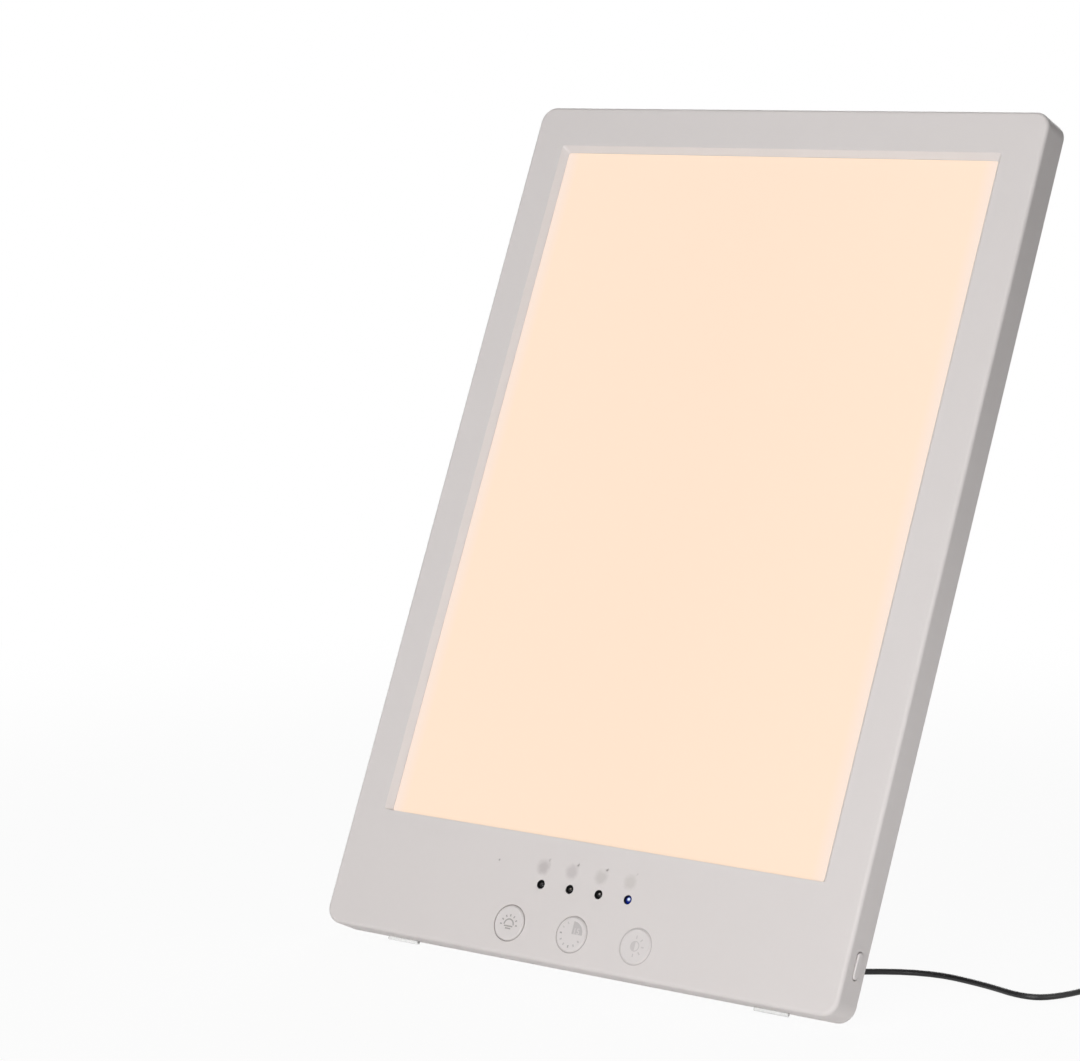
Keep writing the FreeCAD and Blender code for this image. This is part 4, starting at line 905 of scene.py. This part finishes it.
# ribs round a cylinder, each along z
def fluteRing(values):
    tree, given, end = newTree("fluteRing", values)
    places = addNode(
        tree, "GeometryNodeMeshCircle", {"Vertices": given["Ribs"], "Radius": given["Radius"]}
    )
    ribs = addNode(
        tree,
        "GeometryNodeInstanceOnPoints",
        {
            "Points": places.outputs[0],
            "Instance": ribNodes(tree, given["Long"], given["Thick"]),
            "Rotation": (0, -quarter, 0),
        },
    )
    endTree(tree, end, ribs.outputs[0], given["Finish"])
    return tree


# a strain relief: a cone with rings that shrink along it
def ringedCone(values):
    tree, given, end = newTree("ringedCone", values)
    cone = addNode(
        tree,
        "GeometryNodeMeshCone",
        {
            "Vertices": 32,
            "Radius Top": given["End Radius"],
            "Radius Bottom": given["Root Radius"],
            "Depth": given["Long"],
        },
    )
    pitch = mathNode(tree, "DIVIDE", given["Long"], mathNode(tree, "ADD", given["Rings"], 0.4))
    first = addNode(
        tree, "ShaderNodeCombineXYZ", {"Z": mathNode(tree, "MULTIPLY", pitch, 0.7)}
    )
    step = addNode(tree, "ShaderNodeCombineXYZ", {"Z": pitch})
    places = addNode(
        tree,
        "GeometryNodeMeshLine",
        {"Count": given["Rings"], "Start Location": first.outputs[0], "Offset": step.outputs[0]},
    )
    loop = addNode(tree, "GeometryNodeCurvePrimitiveCircle", {"Resolution": 32, "Radius": 1.0})
    section = addNode(
        tree, "GeometryNodeCurvePrimitiveCircle", {"Resolution": 8, "Radius": given["Ring Share"]}
    )
    ring = addNode(
        tree,
        "GeometryNodeCurveToMesh",
        {"Curve": loop.outputs[0], "Profile Curve": section.outputs[0]},
    )
    smooth = addNode(tree, "GeometryNodeSetShadeSmooth", {"Geometry": ring.outputs[0]})
    where = addNode(tree, "GeometryNodeInputPosition").outputs[0]
    high = addNode(tree, "ShaderNodeSeparateXYZ", {0: where}).outputs["Z"]
    limits = {
        "From Max": given["Long"],
        "To Min": given["Root Radius"],
        "To Max": given["End Radius"],
    }
    size = ranged(tree, high, limits)
    rings = addNode(
        tree,
        "GeometryNodeInstanceOnPoints",
        {
            "Points": places.outputs[0],
            "Instance": smooth.outputs[0],
            "Scale": size,
        },
    )
    both = tree.nodes.new("GeometryNodeJoinGeometry")
    tree.links.new(cone.outputs["Mesh"], both.inputs[0])
    tree.links.new(rings.outputs[0], both.inputs[0])
    endTree(tree, end, both.outputs[0], given["Finish"])
    return tree


# one shape on every point, each turned its own way about z
def scattered(values):
    tree, given, end = newTree("scattered", values, onPoints=True)
    turned = addNode(
        tree,
        "FunctionNodeRandomValue",
        {"Min": 0.0, "Max": 2 * math.pi, "Seed": 11},
        data_type="FLOAT",
    )
    angle = [socket for socket in turned.outputs if socket.enabled][0]
    spin = addNode(tree, "ShaderNodeCombineXYZ", {"Z": angle})
    shape = addNode(tree, "GeometryNodeObjectInfo", {"Object": given["Shape"]})
    placed = addNode(
        tree,
        "GeometryNodeInstanceOnPoints",
        {
            "Points": given["Points"],
            "Instance": shape.outputs["Geometry"],
            "Rotation": spin.outputs[0],
        },
    )
    endTree(tree, end, placed.outputs[0], given["Finish"])
    return tree


keys = {
    "across": {"temperature": -28.12 * mm, "timer": -0.67 * mm, "brightness": 26.78 * mm},
    "up": 11.3 * mm,
    "radius": 6.25 * mm,
    "face": 0.5 * mm,  # how far the keys stand out of the front
    "print": 0.03 * mm,
    "sink": 0.006 * mm,
    # rings sunk into the gaps round the keys; their depth and grey are painted shade for the gaps,
    # deepest and darkest round the temperature key
    "gapShadeInner": 6.29 * mm,
    "gapShadeOuter": 6.63 * mm,
    "gapShadeFrom": {"temperature": 0.45 * mm, "timer": 0.2 * mm, "brightness": 0.08 * mm},
    "gapShadeThick": 0.3 * mm,
}

# sizes are shares of the key's radius
sunrise = {
    "middle": (0.03, -0.11),
    "sun": 0.32,
    "line": 0.08,
    "rays": (0.47, 0.60),
    "rayThick": 0.075,
    "bars": ((-0.19, 0.30), (-0.32, 0.19)),
}
clock = {
    "ticks": (0.62, 0.76),
    "tickThick": 0.085,
    "shades": {180: 0, 270: 0, 210: 1, 240: 1, 300: 1, 330: 1, 150: 2, 120: 2},
    "slice": 0.72,
    "sliceFrom": (0.03, 0.03),
    "number": "15",
    "numberAt": (0.32, 0.2),
    "numberSize": 0.476,
}
halfSun = {"disc": 0.30, "line": 0.06, "rays": (0.42, 0.60), "rayThick": 0.075}


# a print's outlines, as (outline, finish) pairs in shares of the radius
def sunriseOutlines():
    across, up = sunrise["middle"]
    inner, outer = sunrise["sun"] - sunrise["line"] / 2, sunrise["sun"] + sunrise["line"] / 2
    outlines = [(arcBand(inner, outer, 0, 180, 24, across, up), 0)]
    for degrees in range(0, 181, 30):
        outlines.append((rayBar(*sunrise["rays"], sunrise["rayThick"], degrees, across, up), 0))
    for high, half in sunrise["bars"]:
        outlines.append((rayBar(-half, half, sunrise["line"], 0, across, high), 0))
    return outlines


def clockOutlines():
    outlines = [
        (rayBar(*clock["ticks"], clock["tickThick"], degrees), shade)
        for degrees, shade in clock["shades"].items()
    ]
    outlines.append((arcBand(0, clock["slice"], 0, 90, 16, *clock["sliceFrom"]), 1))
    return outlines


def halfSunOutlines():
    disc, line = halfSun["disc"], halfSun["line"]
    outlines = [
        (arcBand(0, disc, 90, 270, 20), 0),
        (arcBand(disc - line, disc, -90, 90, 20), 0),
    ]
    for degrees in (-90, -45, 0, 45, 90):
        outlines.append((rayBar(*halfSun["rays"], halfSun["rayThick"], degrees), 0))
    return outlines


def makePrint(key, outlines, finish):
    shape = bmesh.new()
    low, high = keys["face"] - keys["sink"], keys["face"] + keys["print"]
    for outline, shade in outlines:
        scaled = [(x * keys["radius"], y * keys["radius"]) for x, y in outline]
        flat(shape, scaled, low, high, shade)
    place = onFace @ Matrix.Translation((keys["across"][key], keys["up"], 0))
    mesh = meshOf(shape, key + "Icon", place)
    return addPiece(key + "Icon", mesh, key + "_key", finish)


# the minutes on the timer key's slice
def makeNumber():
    data = bpy.data.curves.new("timerNumber", "FONT")
    data.body = clock["number"]
    data.size = clock["numberSize"] * keys["radius"]
    data.align_x = data.align_y = "CENTER"
    data.extrude = keys["print"] / 2
    holder = bpy.data.objects.new("timerNumber", data)
    scene.collection.objects.link(holder)
    ready = holder.evaluated_get(bpy.context.evaluated_depsgraph_get())
    mesh = bpy.data.meshes.new_from_object(ready)
    bpy.data.objects.remove(holder)
    across, up = (share * keys["radius"] for share in clock["numberAt"])
    high = keys["face"] + keys["print"]
    place = (keys["across"]["timer"] + across, keys["up"] + up, high)
    mesh.transform(onFace @ Matrix.Translation(place))
    mesh.materials.clear()
    return addPiece("timerNumber", mesh, "timer_key", ["inkPale"])


# thin rings in the gaps round the keys, coloured grey as painted shade for the gaps
def makeGapShades():
    for key, across in keys["across"].items():
        shape = bmesh.new()
        top = -keys["gapShadeFrom"][key]
        band(
            shape,
            circle(keys["gapShadeOuter"], 72),
            circle(keys["gapShadeInner"], 72),
            top - keys["gapShadeThick"],
            top,
        )
        place = onFace @ Matrix.Translation((across, keys["up"], 0))
        mesh = smoothed(meshOf(shape, key + "Seal", place), 40)
        addPiece(key + "Seal", mesh, "lamp", [key + "Seal"])


makePrint("temperature", sunriseOutlines(), ["inkTemperature"])
makePrint("timer", clockOutlines(), ["inkTimerDark", "inkTimer", "inkTimerPale"])
makePrint("brightness", halfSunOutlines(), ["inkBrightness"])
makeNumber()
makeGapShades()
print("keys")


# a faint printed disc over each indicator, with a tick beside it
def makeMarks():
    for k in range(indicators["count"]):
        shape = bmesh.new()
        low, high = -indicators["sink"], indicators["print"]
        flat(shape, circle(indicators["markRadius"], 40), low, high)
        tick = indicators["tick"]
        flat(shape, rayBar(*tick["reach"], tick["thick"], tick["turn"]), low, high, 1)
        middle = (indicatorAcross(k, "markAside"), indicators["markUp"], 0)
        name = f"indicatorMark{k + 1}"
        slots = [f"mark{k + 1}", "inkMark"]
        mesh = meshOf(shape, name, onFace @ Matrix.Translation(middle))
        addPiece(name, mesh, "lamp", slots)


# black sleeves that fill the gaps round the indicators
def makeSleeves():
    sleeve = indicators["sleeve"]
    low, high = -sleeve["deep"] - sleeve["thick"], -sleeve["deep"]
    shape = bmesh.new()
    for k in range(indicators["count"]):
        middle = (indicatorAcross(k), indicators["up"])
        outer, inner = (circle(sleeve[side], 48, *middle) for side in ("outer", "inner"))
        band(shape, outer, inner, low, high)
    mesh = smoothed(meshOf(shape, "indicatorSleeves", onFace), 40)
    addPiece("indicatorSleeves", mesh, "lamp", ["blackPlastic"])


# a small window that fills the light sensor's pinhole
def makeSensorWindow():
    shape = bmesh.new()
    settings = indicators["sensor"]
    front = -settings["deep"]
    flat(shape, circle(settings["radius"], 20), front - settings["thick"], front)
    place = onFace @ Matrix.Translation((settings["across"], settings["up"], 0))
    name = "sensorWindow"
    addPiece(name, meshOf(shape, name, place), "lamp", [name])


makeMarks()
makeSleeves()
makeSensorWindow()
print("indicators")

caseScrews = {
    "places": [(side * 104, up) for side in (-1, 1) for up in (36, 128, 220, 312)]
    + [(-58.5, 7.5), (58.5, 7.5)],
    "headRadius": 2.1 * mm,
    "headFrom": 10.9 * mm,
    "headTall": 0.98 * mm,
    "headEdge": 0.1 * mm,
    # shares of the head's radius and height, from its rim to its crown
    "headCurve": ((1, 0.45), (0.93, 0.72), (0.75, 0.9), (0.45, 0.98)),
    "shankRadius": 1.1 * mm,
    "shankLong": 6.4 * mm,
    "tipLong": 0.4 * mm,
    "tipShare": 0.7,
    "crossReach": 1.25 * mm,
    "crossThick": 0.5 * mm,
    "crossDeep": 0.55 * mm,
}


# a pan head with a cross recess on a plain shank; z points out of the head
def makeScrewShape():
    settings = caseScrews
    head, tall, edge = settings["headRadius"], settings["headTall"], settings["headEdge"]
    shank, end = settings["shankRadius"], -settings["shankLong"]
    profile = [
        (0, end),
        (shank * settings["tipShare"], end),
        (shank, end + settings["tipLong"]),
        (shank, 0),
        (head - edge, 0),
        (head, edge),
        *((head * out, tall * up) for out, up in settings["headCurve"]),
        (0, tall),
    ]
    shape = bmesh.new()
    lathe(shape, profile, 28)
    screw = bpy.data.objects.new("screwShape", smoothed(meshOf(shape, "screwShape"), 45))
    shape = bmesh.new()
    reach, thick = settings["crossReach"], settings["crossThick"]
    for degrees in (0, 90):
        wide = rayBar(-reach, reach, thick, degrees)
        narrow = rayBar(-reach * 0.5, reach * 0.5, thick * 0.7, degrees)
        loft(shape, [(narrow, tall - settings["crossDeep"]), (wide, tall), (wide, tall * 1.5)])
    cutter = bpy.data.objects.new("crossShape", meshOf(shape, "crossShape"))
    for each in (screw, cutter):
        scene.collection.objects.link(each)
    cut = screw.modifiers.new("cross", "BOOLEAN")
    cut.operation = "DIFFERENCE"
    cut.object = cutter
    cut.use_self = True
    ready = screw.evaluated_get(bpy.context.evaluated_depsgraph_get())
    mesh = bpy.data.meshes.new_from_object(ready)
    screw.modifiers.remove(cut)
    screw.data = mesh
    bpy.data.objects.remove(cutter)
    return screw


def makeCaseScrews():
    screw = makeScrewShape()
    values = {"Shape": screw, "Finish": materials["zincSteel"]}
    points = [(x * mm, -up * mm, caseScrews["headFrom"]) for x, up in caseScrews["places"]]
    mesh = grown(scattered(values), values, onBack, points)
    bpy.data.objects.remove(screw)
    addPiece("caseScrews", mesh, "lamp", standsFor=["case_screws"])


makeCaseScrews()
print("screws")

grips = {
    "footTread": {"Ribs": 6, "Pitch": 1.05 * mm, "Long": 42 * mm, "Thick": 0.5 * mm},
    "legPull": {"Ribs": 7, "Pitch": 2.4 * mm, "Long": 26 * mm, "Thick": 0.9 * mm},
    "adapterGrip": {"Ribs": 8, "Pitch": 2.2 * mm, "Long": 8 * mm, "Thick": 0.8 * mm},
    "plugGrip": {"Ribs": 14, "Radius": 4.42 * mm, "Long": 9 * mm, "Thick": 0.6 * mm},
}
plug = {"across": 42 * mm, "depth": 17 * mm, "gripUp": 62 * mm, "reliefUp": 48 * mm}
adapter = {"sides": (129.65 * mm, 171.65 * mm), "gripAt": (94 * mm, 7.2 * mm)}
standing = Matrix.Rotation(quarter, 4, "X")  # turns a row of ribs upright, one above another
sideways = Matrix.Rotation(quarter, 4, "Y")  # turns the ribs themselves upright
gripPlaces = {
    "footTread": [onLeg @ Matrix.Translation((0, 0.9 * mm, -176.6 * mm)) @ standing],
    "legPull": [onLeg @ Matrix.Translation((0, -0.1 * mm, -161 * mm)) @ standing],
    "adapterGrip": [
        Matrix.Translation((side, *adapter["gripAt"])) @ sideways for side in adapter["sides"]
    ],
    "plugGrip": [onPanel @ Matrix.Translation((plug["across"], plug["depth"], plug["gripUp"]))],
}


def makeGrip(name, treeOf, body, finish):
    values = {**grips[name], "Finish": materials[finish]}
    shape = bmesh.new()
    for place in gripPlaces[name]:
        shape.from_mesh(grown(treeOf(values), values, place))
    return addPiece(name, meshOf(shape, name), body, [finish])


makeGrip("footTread", ribRow, "stand", "footRubber")
makeGrip("legPull", ribRow, "stand", "framePlastic")
adapterGrip = makeGrip("adapterGrip", ribRow, "lamp", "blackPlastic")
plugGrip = makeGrip("plugGrip", fluteRing, "lamp", "blackPlastic")
print("grips")

reliefs = {
    "plugRelief": {
        "Long": 14 * mm,
        "Root Radius": 2.5 * mm,
        "End Radius": 1.5 * mm,
        "Rings": 6,
        "Ring Share": 0.16,
    },
    "adapterRelief": {
        "Long": 14 * mm,
        "Root Radius": 3.1 * mm,
        "End Radius": 1.5 * mm,
        "Rings": 6,
        "Ring Share": 0.16,
    },
}
reliefPlaces = {
    "plugRelief": onPanel
    @ Matrix.Translation((plug["across"], plug["depth"], plug["reliefUp"]))
    @ Matrix.Rotation(math.pi, 4, "X"),
    "adapterRelief": Matrix.Translation((150.65 * mm, 84 * mm, 9.5 * mm))
    @ Matrix.Rotation(quarter, 4, "X"),
}
for name, standsFor in (("plugRelief", "plug_relief"), ("adapterRelief", "adapter_relief")):
    values = {**reliefs[name], "Finish": materials["cordJacket"]}
    mesh = grown(ringedCone(values), values, reliefPlaces[name])
    addPiece(name, mesh, "lamp", standsFor=[standsFor])
print("reliefs")

tie = {
    "middle": (177.76 * mm, 47.2 * mm, 5.18 * mm),
    "wide": 10.6 * mm,
    "tall": 10.1 * mm,
    "corner": 2.6 * mm,
    "thick": 0.6 * mm,
    "strap": 5 * mm,
    "tail": (7.2 * mm, 4.2 * mm, 0.55 * mm),
}


# a strap round the coil, with its tail pressed down on top
def makeTie():
    shape = bmesh.new()
    thick = tie["thick"]
    outer = roundedRectangle(tie["wide"], tie["tall"], tie["corner"], 6)
    inner = roundedRectangle(
        tie["wide"] - 2 * thick, tie["tall"] - 2 * thick, tie["corner"] - thick, 6
    )
    band(shape, outer, inner, -tie["strap"] / 2, tie["strap"] / 2)
    upright = Matrix.Translation(tie["middle"]) @ Matrix.Rotation(quarter, 4, "X")
    bmesh.ops.transform(shape, matrix=upright, verts=shape.verts)
    tailLong, tailWide, tailThick = tie["tail"]
    tail = bmesh.new()
    outline = roundedRectangle(tailLong, tailWide, tailWide * 0.3, 5)
    flat(tail, outline, 0, tailThick)
    across, back, up = tie["middle"]
    top = Matrix.Translation((across - 0.8 * mm, back, up + tie["tall"] / 2 - 0.05 * mm))
    tailMesh = meshOf(tail, "tail", top)
    shape.from_mesh(tailMesh)
    mesh = smoothed(meshOf(shape, "leadTie"), 35)
    return addPiece("leadTie", mesh, "lamp", ["tieNylon"], ["lead_tie"])


leadTie = makeTie()
print("tie")

finishOf = {
    "framePlastic": ["front_frame", "back_cover", "stand_leg"],
    "keyPlastic": ["temperature_button", "timer_button", "brightness_button", "power_button"],
    "diffuserGlow": ["diffuser_plate"],
    "guideAcrylic": ["light_guide"],
    "reflectorFilm": ["reflector_sheet"],
    "boardWhite": ["led_strip_left", "led_strip_right"],
    "phosphor": ["led_chips_left", "led_chips_right"],
    "boardGreen": ["control_board", "driver_board"],
    "flexFilm": ["board_flex", "strip_flex_left", "strip_flex_right", "jack_wires"],
    "blackPlastic": [
        "temperature_switch",
        "timer_switch",
        "brightness_switch",
        "power_switch",
        "dc_jack",
        "indicator_shroud",
        "control_chips",
        "driver_chip",
        "driver_inductor",
        "plug_body",
        "adapter_base",
        "adapter_lid",
    ],
    "greyPlastic": [
        "temperature_plunger",
        "timer_plunger",
        "brightness_plunger",
        "power_plunger",
        "hinge_washer_left",
        "hinge_washer_right",
    ],
    "lensDark1": ["indicator_led_1"],
    "lensDark2": ["indicator_led_2"],
    "lensDark3": ["indicator_led_3"],
    "lensBlue": ["indicator_led_4"],
    "canAluminium": ["driver_capacitors"],
    "zincSteel": ["hinge_pin_left", "hinge_pin_right", "control_screws", "driver_screws"],
    "nickelPlate": ["plug_barrel", "jack_pin", "adapter_blades"],
    "footRubber": ["stand_foot"],
    "siliconePad": ["base_pad_left", "base_pad_right"],
}
for finish, names in finishOf.items():
    for name in names:
        for place in nodes[name].material_slots:
            place.material = materials[finish]
powerLead.data.materials.append(materials["cordJacket"])
print("finishes")

bpy.context.view_layer.update()
